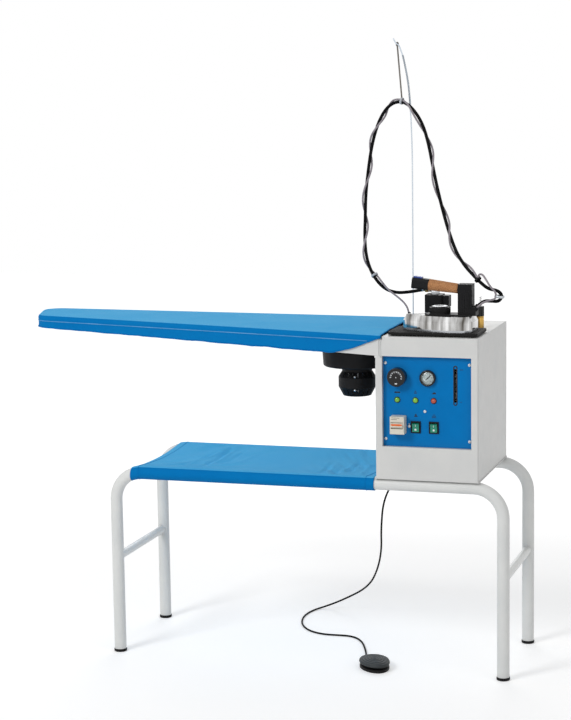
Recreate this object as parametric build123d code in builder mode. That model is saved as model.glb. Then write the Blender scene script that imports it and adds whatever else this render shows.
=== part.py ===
from build123d import *
from math import cos, pi, radians, sin, sqrt, tan
import os

os.makedirs("parts", exist_ok=True)

# Ironing table with a boiler cabinet. Millimetres, X to the right, Y to the rear, Z up from the floor,
# with the origin under the middle of the whole table.

# Leg frame: two bent tube hoops, the rails are their level stretches
frame_x = 157.5
leg_spacing = 1038.0
hoop_spacing = 342.0
tube_d = 32.0
tube_wall = 1.5
rail_top = 506.0
bend_radius = 75.0
brace_d = 22.0
brace_wall = 1.5
brace_height = 258.0
foot_d = 37.0
foot_height = 14.0
foot_floor = 4.0
foot_fit = 0.1
bearer_width = 30.0
bearer_thickness = 4.0
bearer_spacing = 184.0
bearer_end = 8.0

# Shelf cloth, a sleeve round both rails
shelf_left = -294.5
shelf_right = 346.5
cloth_thickness = 1.5
cloth_gap = 0.8
shelf_sag = 10.0

# Boiler cabinet of folded sheet
cabinet_x = 485.0
cabinet_width = 264.0
cabinet_depth = 361.0
cabinet_height = 363.0
cabinet_front = -188.0
sheet = 1.5
edge_radius = 5.0
base_thickness = 2.0
base_lip = 2.0
lid_height = 7.0
lid_edge = 1.2
notch_width = 16.5
notch_drop = 54.0
rear_flange = 12.0
vent_slots = 8
vent_slot_length = 70.0
vent_slot_width = 4.0
vent_slot_pitch = 14.0

# Panel window, measured from the window's lower left corner
window_inset = 18.0
window_rise = 82.0
window_width = 228.0
window_height = 230.0
window_recess = 12.0
window_flange = 14.0
panel_thickness = 2.0
panel_fit = 0.4
panel_screw_inset = 6.5
panel_screw_rise = 18.5
panel_screw_d = 4.0
panel_screw_head = 8.0
panel_screw_head_height = 2.2
panel_screw_length = 10.0
centre_screw_x = 107.5
centre_screw_z = 91.0
side_screw_x = 67.0
side_screw_z = 52.0

# Panel controls
knob_x = 38.5
knob_z = 178.0
knob_d = 47.0
knob_depth = 20.5
knob_gap = 1.2
shaft_d = 6.0
shaft_length = 16.0
thermostat_width = 38.0
thermostat_height = 34.0
thermostat_depth = 28.0
gauge_x = 115.5
gauge_z = 176.0
gauge_d = 41.0
gauge_bezel = 8.0
gauge_dial_d = 33.0
gauge_dial_depth = 4.0
gauge_body_d = 37.0
gauge_body_depth = 26.0
needle_length = 12.5
needle_tail = 5.0
needle_width = 1.6
needle_pin_d = 2.0
needle_angle = 45.0
slot_x = 185.5
slot_low = 116.0
slot_high = 201.0
slot_width = 10.0
lamp_x = 36.5
lamp_pitch = 46.75
lamp_z = 118.5
lamp_d = 13.0
lamp_rise = 5.5
lamp_barrel_d = 9.6
lamp_barrel_length = 18.0
breaker_x = 41.5
breaker_z = 57.0
breaker_width = 36.0
breaker_height = 45.0
breaker_nose = 28.0
breaker_body_depth = 42.0
breaker_body_height = 80.0
lever_width = 30.0
lever_radius = 8.0
lever_tip = 10.5
lever_bar = 5.0
breaker_pin_r = 1.5
switch_x = 84.0
switch_pitch = 46.5
switch_z = 50.5
switch_width = 25.0
switch_height = 30.0
switch_rim = 3.5
switch_barrel_depth = 22.0
switch_barrel_inset = 1.4
rocker_width = 17.0
rocker_height = 22.0
rocker_depth = 9.0
rocker_rise = 4.5
rocker_tilt = 8.0
rocker_gap = 0.6
rocker_pin_r = 1.0

# Board: slanted front edge, straight rear edge, rounded nose at the left
board_gap = 1.5
board_rise = 7.0
board_front = -189.0
board_rear = 192.0
nose_front = 20.0
nose_rear_reach = 1063.75
nose_setback = 51.75
nose_front_radius = 45.0
nose_rear_radius = 50.0
board_crown = 4.0
cover_thickness = 1.5
cover_edge_radius = 8.0
pad_gap = 0.3
tray_inset = 3.3
tray_sheet = 1.5
tray_rim_drop = 14.0
tray_rise = 24.0
tray_end_plate = 4.0
hem_drop = 1.5
hem_run = 135.0
hem_end_drop = 9.0
plate_thickness = 1.0
plate_hole_d = 16.0
plate_hole_pitch = 60.0
plate_margin = 30.0
bracket_leg = 5.0
bracket_plate = 6.0
bracket_reach = 12.0
bracket_plate_width = 300.0
bracket_plate_height = 42.0
bolt_d = 8.0
bolt_clearance = 0.2
bolt_flats = 13.0
bolt_head = 5.3
nut_height = 6.5
bolt_overhang = 2.0
board_bolt_pitch = 85.0
board_bolt_rise = 22.0
base_bolt_pitch = 216.0

# Suction fan under the board
fan_inset = 96.0
fan_y = 0.0
fan_drop = 53.0
fan_r = 91.0
fan_low_r = 88.0
fan_flange = 4.5
fan_flange_height = 10.0
fan_wall = 2.5
fan_inlet_d = 150.0
motor_hole_d = 28.0
cover_neck_r = 39.5
cover_r = 49.0
cover_end_r = 37.0
cover_wall = 2.0
cover_neck_height = 15.0
cover_shoulder = 15.0
cover_barrel = 26.0
cover_chamfer = 23.0
vent_count = 20
vent_width = 3.0
motor_r = 33.0
motor_height = 68.0
motor_flange_r = 36.5
motor_flange = 2.5
motor_bush_r = 11.0
motor_bush = 6.0
motor_shaft_r = 4.0
motor_shaft_rise = 32.0
impeller_r = 75.0
impeller_gap = 7.0
impeller_disc = 2.0
impeller_height = 26.0
impeller_hub_r = 11.0
blade_count = 9
blade_length = 34.0
blade_thickness = 2.0
blade_angle = 35.0
running_fit = 0.05

# Boiler inside the cabinet
boiler_x = 502.5
boiler_y = 20.0
boiler_r = 90.0
boiler_wall = 2.5
boiler_low = 50.0
boiler_length = 250.0
boiler_dome = 20.0
boss_r = 13.0
boss_rise = 4.0
boss_depth = 40.0
leg_width = 30.0
leg_thickness = 5.0
leg_lap = 64.0
leg_foot = 20.0
tank_leg_angles = (30, 150, 270)
element_rise = 34.0
element_boss_r = 24.0
element_boss_length = 13.0
element_boss_root = 20.0
element_plug_r = 18.0
element_flange = 6.0
element_tube_r = 4.0
element_spread = 24.0
element_reach = 150.0
pipe_r = 4.0
glass_d = 12.0
glass_bore = 9.0
glass_setback = 9.0
glass_fitting = 15.0
glass_socket = 6.0
drain_pipe_r = 6.0
drain_rise = 16.0
drain_body_r = 9.0
drain_body_length = 35.1
drain_spout_r = 5.0
drain_spout_drop = 24.0
drain_stem_r = 3.0
drain_lever_length = 45.0
drain_lever_width = 12.0
drain_lever_thickness = 2.5

# Fittings on the lid
filler_x = 573.5
filler_y = 30.0
filler_bore_r = 7.0
filler_tube_r = 10.0
filler_collar_r = 12.5
filler_collar_height = 27.0
filler_thread_r = 9.0
filler_thread_depth = 15.0
plug_flange = 2.3
plug_gap = 0.2
plug_stem_r = 4.0
plug_stem = 13.0
filler_knob_r = 13.0
filler_knob_height = 26.0
filler_lobes = 6
valve_x = 448.0
valve_y = 70.0
valve_pipe_r = 7.0
valve_body_rise = 7.0
valve_body_width = 46.0
valve_body_depth = 30.0
valve_body_height = 27.0
valve_stem_r = 5.0
valve_nut_r = 10.0
valve_nut_height = 8.0
riser_offset = 31.0
riser_r = 6.5
outlet_rise = 88.0
outlet_length = 24.0
coil_width = 45.0
coil_depth = 46.0
coil_height = 45.5
coil_fit = 0.1
plug_box_width = 18.0
plug_box_depth = 28.0
plug_box_height = 32.0
hole_clearance = 0.3
gland_flats = 18.0
gland_hex = 6.0
gland_dome = 12.0
gland_dome_r = 7.5
gland_thread_r = 6.0
gland_thread = 8.0
lid_gland_x = 385.5
lid_gland_y = 45.0
pedal_gland_x = 366.0
pedal_gland_y = -66.0
mains_gland_x = 580.0
mains_gland_rise = 40.0

# Rest mat and iron
mat_x = 496.5
mat_y = -112.0
mat_width = 228.0
mat_depth = 120.0
mat_height = 10.0
mat_foot_height = 3.0
mat_foot_r = 3.5
mat_foot_pitch = 19.0
iron_nose_x = 399.5
iron_y = -108.0
iron_length = 193.0
iron_width = 118.0
iron_rear_width = 76.0
iron_outline = ((0.38, 0.78), (0.70, 1.00), (0.91, 0.97))
nose_overrun = 4.0
sole_height = 6.0
sole_core = 16.0
sole_core_inset = 9.0
cover_band = 18.0
cover_bevel = 15.0
cover_bevel_inset = 8.0
iron_sheet = 1.2
handle_base_height = 3.0
handle_base_left = 70.0
handle_base_right = 190.0
handle_base_width = 50.0
support_left = 152.0
support_length = 36.0
support_width = 34.0
grip_rise = 66.5
grip_slope = 6.5
grip_left = 75.0
grip_length = 75.0
grip_front_r = 14.5
grip_rear_r = 12.5
grip_core_r = 9.0
nose_length = 43.0
nose_height = 28.0
nose_width = 27.0
support_top = 25.0
button_length = 22.0
button_width = 15.0
button_height = 7.0
button_stand = 3.5
button_travel = 3.0
button_gap = 0.4
dial_x = 103.0
dial_r = 26.0
dial_height = 16.0
dial_cap_r = 21.0
dial_cap = 2.0
dial_gap = 0.4
dial_stem_r = 4.0
inlet_left = 172.0
inlet_length = 26.0
inlet_width = 34.0
inlet_height = 22.0
nozzle_r = 6.5
nozzle_length = 12.0
nozzle_approach = 17.0

# Cords, hose and antenna
hose_d = 8.6
cable_d = 5.0
pedal_cord_d = 5.0
twist_radius = 8.2
half_turn_shares = (0.1025, 0.1508, 0.2079, 0.2601, 0.3222, 0.3734, 0.4237,
                    0.4611, 0.5291, 0.6020, 0.6650, 0.7488, 0.8069, 0.8749)
twist_steps = 6
left_tie_share = 0.1163
top_tie_share = 0.4734
right_tie_share = 0.8973
tie_width = 6.0
tie_wall = 1.2
tie_gap = 0.5
strap_width = 4.0
strap_thickness = 1.2
antenna_inset = 6.5
antenna_y = 196.0
antenna_d = 3.6
antenna_low = 645.0
socket_height = 60.0
socket_d = 12.0
socket_plate_width = 34.0
socket_plate_height = 50.0
socket_plate = 3.0
antenna_hook = 1594.8
hook_loop_r = 3.4

# Foot pedal
pedal_x = 337.5
pedal_y = -155.0
pedal_turn = -60.0
pedal_length = 100.0
pedal_width = 75.0
pedal_height = 28.0
pedal_base_height = 8.0
pedal_corner = 26.0
pedal_gap = 5.0
pedal_edge = 7.0
pedal_skin = 4.0
switch_block_length = 30.0
switch_block_width = 16.0
switch_block_height = 10.0
pedal_pin_r = 2.5
pedal_pin_inset = 10.0
pedal_pin_height = 15.0
pedal_lug = 6.0
pedal_barrel = 40.0
pedal_relief_r = 4.8
pedal_relief_length = 12.0

# Places worked out from the sizes above
rail_z = rail_top - tube_d / 2
leg_left = frame_x - leg_spacing / 2
leg_right = frame_x + leg_spacing / 2
rail_front = -hoop_spacing / 2
rail_rear = hoop_spacing / 2

cabinet_left = cabinet_x - cabinet_width / 2
cabinet_right = cabinet_x + cabinet_width / 2
cabinet_rear = cabinet_front + cabinet_depth
cabinet_y = cabinet_front + cabinet_depth / 2
lid_top = rail_top + cabinet_height
body_low = rail_top + base_thickness
body_high = lid_top - lid_height
ledge_z = lid_top - notch_drop
notch_wall = cabinet_left + notch_width

window_left = cabinet_left + window_inset
window_low = body_low + window_rise
panel_face = cabinet_front + window_recess
panel_back = panel_face + panel_thickness

board_end = cabinet_left - board_gap
board_top = lid_top + board_rise
tray_end = notch_wall - bracket_plate
tray_top = board_top - tray_rim_drop
tray_low = ledge_z + bracket_leg
nose_front_reach = nose_rear_reach - nose_setback
tray_slope = tray_rise / nose_rear_reach
front_slope = (nose_front - board_front) / nose_front_reach
fan_x = board_end - fan_inset


def tray_floor(x):
    return tray_low + (tray_end - x) * tray_slope


def slab(x0, x1, y0, y1, z0, z1, mode=Mode.ADD):
    # a box between two corners
    with Locations(((x0 + x1) / 2, (y0 + y1) / 2, (z0 + z1) / 2)):
        Box(x1 - x0, y1 - y0, z1 - z0, mode=mode)


# Leg frame
def bent_hoop(y):
    with BuildPart() as hoop:
        with BuildLine() as bend:
            FilletPolyline(
                (leg_left, y, foot_floor),
                (leg_left, y, rail_z),
                (leg_right, y, rail_z),
                (leg_right, y, foot_floor),
                radius=bend_radius,
            )
        with BuildSketch(Plane(bend.line ^ 0)):
            Circle(tube_d / 2)
            Circle(tube_d / 2 - tube_wall, mode=Mode.SUBTRACT)
        sweep(path=bend.line)
    return hoop.part


with BuildPart() as front_hoop:
    add(bent_hoop(rail_front))
front_hoop.part.label = "front_hoop"
export_step(front_hoop.part, "parts/front_hoop.step")

with BuildPart() as rear_hoop:
    add(bent_hoop(rail_rear))
rear_hoop.part.label = "rear_hoop"
export_step(rear_hoop.part, "parts/rear_hoop.step")

# The braces run from leg to leg, with ends coped to the leg tubes
with BuildPart() as cross_braces:
    for leg_x in (leg_left, leg_right):
        with BuildSketch(Plane(origin=(leg_x, rail_front, brace_height), z_dir=(0, 1, 0))):
            Circle(brace_d / 2)
            Circle(brace_d / 2 - brace_wall, mode=Mode.SUBTRACT)
        extrude(amount=hoop_spacing)
    with Locations((frame_x, 0, brace_height)):
        with GridLocations(leg_spacing, hoop_spacing, 2, 2):
            Cylinder(tube_d / 2, 2 * brace_d, mode=Mode.SUBTRACT)
cross_braces.part.label = "cross_braces"
export_step(cross_braces.part, "parts/cross_braces.step")

# Flat bars welded between the rails carry the cabinet
with BuildPart() as cabinet_bearers:
    for side in (-1, 1):
        bar_x = cabinet_x + side * bearer_spacing / 2
        slab(
            bar_x - bearer_width / 2,
            bar_x + bearer_width / 2,
            rail_front + bearer_end,
            rail_rear - bearer_end,
            rail_top - bearer_thickness,
            rail_top,
        )
    for rail_y in (rail_front, rail_rear):
        with Locations((cabinet_x, rail_y, rail_z)):
            Cylinder(tube_d / 2, 2 * cabinet_width, rotation=(0, 90, 0), mode=Mode.SUBTRACT)
    with Locations((cabinet_x, cabinet_y, rail_top)):
        with GridLocations(bearer_spacing, base_bolt_pitch, 2, 2):
            Cylinder((bolt_d + bolt_clearance) / 2, 4 * bearer_thickness, mode=Mode.SUBTRACT)
cabinet_bearers.part.label = "cabinet_bearers"
export_step(cabinet_bearers.part, "parts/cabinet_bearers.step")

with BuildPart() as foot_caps:
    with Locations((frame_x, 0, foot_height / 2)):
        with GridLocations(leg_spacing, hoop_spacing, 2, 2):
            Cylinder(foot_d / 2, foot_height)
    chamfer(foot_caps.edges().group_by(Axis.Z)[0], foot_fit * 12)
    with Locations((frame_x, 0, foot_floor + foot_height / 2)):
        with GridLocations(leg_spacing, hoop_spacing, 2, 2):
            Cylinder(tube_d / 2 + foot_fit, foot_height, mode=Mode.SUBTRACT)
foot_caps.part.label = "foot_caps"
export_step(foot_caps.part, "parts/foot_caps.step")

# Shelf cloth: sewn sleeves round the rails and a sagging sheet between them
sleeve_r = tube_d / 2 + cloth_gap
sheet_high = rail_z + sleeve_r + cloth_thickness
sheet_low = rail_z + sleeve_r
with BuildPart() as shelf_cloth:
    with BuildSketch(Plane.YZ.offset(shelf_left)):
        with BuildLine():
            ThreePointArc((rail_front, sheet_high), (0, sheet_high - shelf_sag), (rail_rear, sheet_high))
            Line((rail_rear, sheet_high), (rail_rear, sheet_low))
            ThreePointArc((rail_rear, sheet_low), (0, sheet_low - shelf_sag), (rail_front, sheet_low))
            Line((rail_front, sheet_low), (rail_front, sheet_high))
        make_face()
        with Locations((rail_front, rail_z), (rail_rear, rail_z)):
            Circle(sleeve_r + cloth_thickness)
            Circle(sleeve_r, mode=Mode.SUBTRACT)
    extrude(amount=shelf_right - shelf_left)
shelf_cloth.part.label = "shelf_cloth"
export_step(shelf_cloth.part, "parts/shelf_cloth.step")


# Board: plan of everything that lies one above the other in it
def board_plan(inset, end_x):
    beyond = tray_end - board_end + 4 * tray_inset
    Polygon(
        (board_end + beyond, board_front - beyond * front_slope),
        (board_end + beyond, board_rear),
        (board_end - nose_rear_reach, board_rear),
        (board_end - nose_front_reach, nose_front),
        align=None,
    )
    nose = vertices().sort_by(Axis.X)
    fillet(nose[0], nose_rear_radius)
    nose = vertices().filter_by(lambda v: v.Y < (nose_front + board_rear) / 2).sort_by(Axis.X)
    fillet(nose[0], nose_front_radius)
    offset(amount=-inset)
    with Locations((end_x - nose_rear_reach, (board_front + board_rear) / 2)):
        Rectangle(2 * nose_rear_reach, 2 * (board_rear - board_front), mode=Mode.INTERSECT)


middle_right = (board_front + board_rear) / 2
middle_left = (nose_front + board_rear) / 2
half_width = (board_rear - board_front) / 2
crown_radius = (half_width**2 + board_crown**2) / (2 * board_crown)
crown_plane = Plane(
    origin=(board_end, middle_right, board_top - crown_radius),
    x_dir=(0, 0, -1),
    z_dir=(-nose_rear_reach, middle_left - middle_right, 0),
)


def crowned_form(inset, end_x, low, high_drop, edge_r):
    # the board's plan, crowned across its width and rounded along its upper edge
    with BuildPart() as form:
        with BuildSketch(Plane.XY.offset(low)):
            board_plan(inset, end_x)
        extrude(amount=board_top + board_crown - low)
        with BuildSketch(crown_plane.offset(-nose_rear_reach)):
            Circle(crown_radius - high_drop)
        extrude(amount=3 * nose_rear_reach, mode=Mode.INTERSECT)
        upper = form.faces().sort_by(Axis.Z)[-1].edges()
        fillet(upper.filter_by(lambda e: e.center().X < end_x - inset - edge_r), edge_r)
    return form.part


pad_low = tray_top + plate_thickness
pad_drop = cover_thickness + pad_gap
hem_low = tray_floor(board_end) - hem_drop
cover_end = notch_wall - board_gap
hem_start = cover_end - hem_run
form_low = hem_low - board_crown

with BuildPart() as board_cover:
    add(crowned_form(0, cover_end, form_low, 0, cover_edge_radius))
    inner_r = cover_edge_radius - cover_thickness
    add(crowned_form(cover_thickness, cover_end, form_low, cover_thickness, inner_r), mode=Mode.SUBTRACT)
    # the hem follows the tray's floor and rises in a curve to the cabinet's corner
    with BuildSketch(Plane.XZ):
        with BuildLine():
            nose_x = board_end - nose_rear_reach - nose_rear_radius
            far = (nose_x, tray_floor(nose_x) - hem_drop)
            turn = (hem_start, tray_floor(hem_start) - hem_drop)
            top = (cover_end + board_gap, board_top - hem_end_drop)
            knee = (0.44 * turn[0] + 0.56 * top[0], 0.56 * turn[1] + 0.44 * top[1])
            Line(far, turn)
            ThreePointArc(turn, knee, top)
            Line(top, (top[0], form_low - board_crown))
            Line((top[0], form_low - board_crown), (nose_x, form_low - board_crown))
            Line((nose_x, form_low - board_crown), far)
        make_face()
    extrude(amount=2 * half_width, both=True, mode=Mode.SUBTRACT)
board_cover.part.label = "board_cover"
export_step(board_cover.part, "parts/board_cover.step")

with BuildPart() as board_pad:
    add(crowned_form(pad_drop, cover_end, pad_low, pad_drop, cover_edge_radius - pad_drop))
board_pad.part.label = "board_pad"
export_step(board_pad.part, "parts/board_pad.step")

plate_holes = []
hole_columns = int((nose_front_reach - 2 * plate_margin) / plate_hole_pitch)
for column in range(hole_columns):
    hole_x = board_end - plate_margin - column * plate_hole_pitch
    front_y = board_front + (board_end - hole_x) * front_slope + plate_margin
    hole_y = board_rear - plate_margin
    while hole_y > front_y:
        plate_holes.append((hole_x, hole_y))
        hole_y -= plate_hole_pitch

with BuildPart() as board_plate:
    with BuildSketch(Plane.XY.offset(tray_top)):
        board_plan(tray_inset, board_end)
        with Locations(*plate_holes):
            Circle(plate_hole_d / 2, mode=Mode.SUBTRACT)
    extrude(amount=plate_thickness)
board_plate.part.label = "board_plate"
export_step(board_plate.part, "parts/board_plate.step")


# Suction tray: a pan with a sloping floor, closed by a thick end plate at the cabinet
def below_floor(raised):
    with BuildPart() as wedge:
        with BuildSketch(Plane.XZ):
            left = board_end - 2 * nose_rear_reach
            right = board_end + nose_rear_reach
            Polygon(
                (left, tray_floor(left) + raised),
                (right, tray_floor(right) + raised),
                (right, rail_top),
                (left, rail_top),
                align=None,
            )
        extrude(amount=4 * half_width, both=True)
    return wedge.part


def pan(inset, end_x, raised, high):
    with BuildPart() as solid:
        with BuildSketch(Plane.XY.offset(ledge_z - tray_rise)):
            board_plan(inset, end_x)
        extrude(amount=high - ledge_z + tray_rise)
        add(below_floor(raised), mode=Mode.SUBTRACT)
    return solid.part


bolt_hole = (bolt_d + bolt_clearance) / 2
board_bolt_z = tray_low + board_bolt_rise
board_bolt_y = [(i - 1.5) * board_bolt_pitch for i in range(4)]
with BuildPart() as suction_tray:
    add(pan(tray_inset, tray_end, 0, tray_top))
    add(
        pan(tray_inset + tray_sheet, tray_end - tray_end_plate, tray_sheet, tray_top + tray_sheet),
        mode=Mode.SUBTRACT,
    )
    with Locations((fan_x, fan_y, tray_floor(fan_x))):
        Cylinder(fan_inlet_d / 2, tray_rise, mode=Mode.SUBTRACT)
    with Locations(*[(tray_end, y, board_bolt_z) for y in board_bolt_y]):
        Cylinder(bolt_hole, 4 * tray_end_plate, rotation=(0, 90, 0), mode=Mode.SUBTRACT)
suction_tray.part.label = "suction_tray"
export_step(suction_tray.part, "parts/suction_tray.step")

# The bracket fills the gap between the tray's end and the cabinet, and reaches under the tray
with BuildPart() as board_bracket:
    slab(tray_end, notch_wall, -bracket_plate_width / 2, bracket_plate_width / 2,
         ledge_z, ledge_z + bracket_plate_height)
    slab(notch_wall - bracket_plate - bracket_reach, notch_wall, cabinet_front + sheet, cabinet_rear,
         ledge_z, ledge_z + bracket_leg)
    with Locations(*[(tray_end, y, board_bolt_z) for y in board_bolt_y]):
        Cylinder(bolt_hole, 4 * bracket_plate, rotation=(0, 90, 0), mode=Mode.SUBTRACT)
board_bracket.part.label = "board_bracket"
export_step(board_bracket.part, "parts/board_bracket.step")


# Hexagon bolts with their nuts, through the base and through the board's end
def bolt_and_nut(seat, grip):
    # seat is the plane under the head, its normal pointing out of the head
    with BuildPart() as fixing:
        with BuildSketch(seat):
            RegularPolygon(bolt_flats / 2, 6, major_radius=False)
        extrude(amount=bolt_head)
        with BuildSketch(seat):
            Circle(bolt_d / 2)
        extrude(amount=-(grip + nut_height + bolt_overhang))
        with BuildSketch(seat.offset(-grip)):
            RegularPolygon(bolt_flats / 2, 6, major_radius=False)
            Circle(bolt_d / 2 + running_fit, mode=Mode.SUBTRACT)
        extrude(amount=-nut_height)
    return fixing.part


board_grip = tray_end_plate + bracket_plate + sheet
base_grip = base_thickness + bearer_thickness
with BuildPart() as mounting_bolts:
    for y in board_bolt_y:
        add(bolt_and_nut(Plane(origin=(tray_end - tray_end_plate, y, board_bolt_z), z_dir=(-1, 0, 0)),
                         board_grip))
    for side in (-1, 1):
        for depth in (-1, 1):
            add(bolt_and_nut(
                Plane(origin=(cabinet_x + side * bearer_spacing / 2,
                              cabinet_y + depth * base_bolt_pitch / 2,
                              body_low)),
                base_grip))
mounting_bolts.part.label = "mounting_bolts"
export_step(mounting_bolts.part, "parts/mounting_bolts.step")


# Suction fan: housing under the tray, impeller, motor and its vented cover
def turned(points, x, y):
    # a solid of revolution about the vertical line through x, y
    with BuildPart() as solid:
        with BuildSketch(Plane(origin=(x, y, 0), x_dir=(1, 0, 0), z_dir=(0, -1, 0))):
            Polygon(*points, align=None)
        revolve(axis=Axis((x, y, 0), (0, 0, 1)))
    return solid.part


fan_high = tray_floor(fan_x)
fan_low = tray_floor(board_end) - fan_drop
flange_low = fan_high - fan_flange_height
with BuildPart() as fan_housing:
    add(turned([
        (motor_hole_d / 2, fan_low),
        (fan_low_r - fan_wall, fan_low),
        (fan_low_r, fan_low + fan_wall),
        (fan_r, flange_low),
        (fan_r + fan_flange, flange_low),
        (fan_r + fan_flange, fan_high + fan_flange),
        (fan_r - fan_wall, fan_high + fan_flange),
        (fan_r - fan_wall, flange_low),
        (fan_low_r - fan_wall, fan_low + fan_wall),
        (motor_hole_d / 2, fan_low + fan_wall),
    ], fan_x, fan_y))
    with BuildSketch(Plane.XZ):
        Polygon(
            (fan_x - 2 * fan_r, tray_floor(fan_x - 2 * fan_r)),
            (fan_x + 2 * fan_r, tray_floor(fan_x + 2 * fan_r)),
            (fan_x + 2 * fan_r, board_top),
            (fan_x - 2 * fan_r, board_top),
            align=None,
        )
    extrude(amount=2 * fan_r, both=True, mode=Mode.SUBTRACT)
fan_housing.part.label = "fan_housing"
export_step(fan_housing.part, "parts/fan_housing.step")

shoulder_high = fan_low - cover_neck_height
shoulder_low = shoulder_high - cover_shoulder
barrel_low = shoulder_low - cover_barrel
cover_low = barrel_low - cover_chamfer
with BuildPart() as motor_cover:
    add(turned([
        (0, cover_low),
        (cover_end_r, cover_low),
        (cover_r, barrel_low),
        (cover_r, shoulder_low),
        (cover_neck_r, shoulder_high),
        (cover_neck_r, fan_low),
        (cover_neck_r - cover_wall, fan_low),
        (cover_neck_r - cover_wall, shoulder_high - cover_wall / 2),
        (cover_r - cover_wall, shoulder_low - cover_wall / 2),
        (cover_r - cover_wall, barrel_low + cover_wall / 2),
        (cover_end_r - cover_wall / 2, cover_low + cover_wall),
        (0, cover_low + cover_wall),
    ], fan_x, fan_y))
    # vents round the shoulder and round the lower end
    with Locations((fan_x, fan_y, (shoulder_high + shoulder_low) / 2)):
        with PolarLocations(cover_r, vent_count):
            Box(2 * cover_neck_height, vent_width, 0.7 * cover_shoulder, mode=Mode.SUBTRACT)
    with Locations((fan_x, fan_y, (barrel_low + cover_low) / 2)):
        with PolarLocations(cover_r, vent_count):
            Box(2 * cover_neck_height, vent_width, 0.6 * cover_chamfer, mode=Mode.SUBTRACT)
motor_cover.part.label = "motor_cover"
export_step(motor_cover.part, "parts/motor_cover.step")

bush_high = fan_low + motor_bush
shaft_high = fan_low + motor_shaft_rise
with BuildPart() as fan_motor:
    add(turned([
        (0, fan_low - motor_height),
        (motor_r, fan_low - motor_height),
        (motor_r, fan_low - motor_flange),
        (motor_flange_r, fan_low - motor_flange),
        (motor_flange_r, fan_low),
        (motor_bush_r, fan_low),
        (motor_bush_r, bush_high),
        (motor_shaft_r, bush_high),
        (motor_shaft_r, shaft_high),
        (0, shaft_high),
    ], fan_x, fan_y))
    chamfer(fan_motor.edges().group_by(Axis.Z)[0], motor_flange)
fan_motor.part.label = "fan_motor"
export_step(fan_motor.part, "parts/fan_motor.step")

disc_low = fan_low + impeller_gap
with BuildPart() as fan_impeller:
    with Locations((fan_x, fan_y, disc_low + impeller_disc / 2)):
        Cylinder(impeller_r, impeller_disc)
    with Locations((fan_x, fan_y, disc_low + (impeller_disc + impeller_height) / 2)):
        Cylinder(impeller_hub_r, impeller_disc + impeller_height)
        with PolarLocations(impeller_r - 0.5 * blade_length, blade_count):
            Box(
                blade_length * cos(radians(blade_angle)),
                blade_thickness,
                impeller_disc + impeller_height,
                rotation=(0, 0, blade_angle),
            )
    with BuildSketch(Plane.XY.offset(disc_low + impeller_height)):
        with Locations((fan_x, fan_y)):
            Circle(impeller_r)
            Circle(impeller_r - blade_length, mode=Mode.SUBTRACT)
    extrude(amount=impeller_disc)
    with Locations((fan_x, fan_y, disc_low)):
        Cylinder(motor_shaft_r + running_fit, 4 * impeller_height, mode=Mode.SUBTRACT)
fan_impeller.part.label = "fan_impeller"
export_step(fan_impeller.part, "parts/fan_impeller.step")


# Panel: a plane on its face, local x to the right, local y up, its normal towards the front
face = Plane(origin=(window_left, panel_face, window_low), x_dir=(1, 0, 0), z_dir=(0, -1, 0))
screw_points = [
    (panel_screw_inset, panel_screw_rise),
    (window_width - panel_screw_inset, panel_screw_rise),
    (panel_screw_inset, window_height - panel_screw_rise),
    (window_width - panel_screw_inset, window_height - panel_screw_rise),
    (centre_screw_x, centre_screw_z),
    (side_screw_x, side_screw_z),
]
switch_points = [(switch_x, switch_z), (switch_x + switch_pitch, switch_z)]
lamp_points = [(lamp_x + i * lamp_pitch, lamp_z) for i in range(3)]


# Cabinet body: front and sides in one folded sheet, with the panel window and the board's notch
def round_front(face_y, radius):
    uprights = edges().filter_by(Axis.Z).filter_by(lambda e: e.center().Y < face_y + radius)
    fillet(uprights, radius)


with BuildPart() as cabinet_hollow:
    slab(cabinet_left + sheet, cabinet_right - sheet, cabinet_front + sheet,
         cabinet_rear - 2 * sheet, body_low, ledge_z - sheet)
    slab(notch_wall + sheet, cabinet_right - sheet, cabinet_front + sheet,
         cabinet_rear - 2 * sheet, body_low, body_high)
    round_front(cabinet_front + sheet, edge_radius - sheet)

with BuildPart() as cabinet_body:
    slab(cabinet_left, cabinet_right, cabinet_front, cabinet_rear - sheet, body_low, body_high)
    round_front(cabinet_front, edge_radius)
    slab(cabinet_left, notch_wall, cabinet_front, cabinet_rear, ledge_z, body_high, mode=Mode.SUBTRACT)
    add(cabinet_hollow.part, mode=Mode.SUBTRACT)
    # the rear opening leaves folded flanges that carry the rear cover
    slab(cabinet_left + rear_flange, cabinet_right - rear_flange, cabinet_rear - 3 * sheet,
         cabinet_rear, body_low, ledge_z - sheet, mode=Mode.SUBTRACT)
    slab(notch_wall + rear_flange, cabinet_right - rear_flange, cabinet_rear - 3 * sheet,
         cabinet_rear, body_low, body_high, mode=Mode.SUBTRACT)
    # window with a return lip, and a flange behind the panel
    slab(window_left - sheet, window_left + window_width + sheet, cabinet_front, panel_back + sheet,
         window_low - sheet, window_low + window_height + sheet)
    slab(window_left, window_left + window_width, cabinet_front, panel_back,
         window_low, window_low + window_height, mode=Mode.SUBTRACT)
    slab(window_left + window_flange, window_left + window_width - window_flange,
         cabinet_front, panel_back + 2 * sheet, window_low + window_flange,
         window_low + window_height - window_flange, mode=Mode.SUBTRACT)
    with Locations(*[(notch_wall, y, board_bolt_z) for y in board_bolt_y]):
        Cylinder(bolt_hole, 4 * sheet, rotation=(0, 90, 0), mode=Mode.SUBTRACT)
    with BuildSketch(face.offset(-panel_thickness)):
        with Locations(*screw_points):
            Circle(panel_screw_d / 2 + running_fit)
    extrude(amount=-2 * sheet, mode=Mode.SUBTRACT)
cabinet_body.part.label = "cabinet_body"
export_step(cabinet_body.part, "parts/cabinet_body.step")

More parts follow.
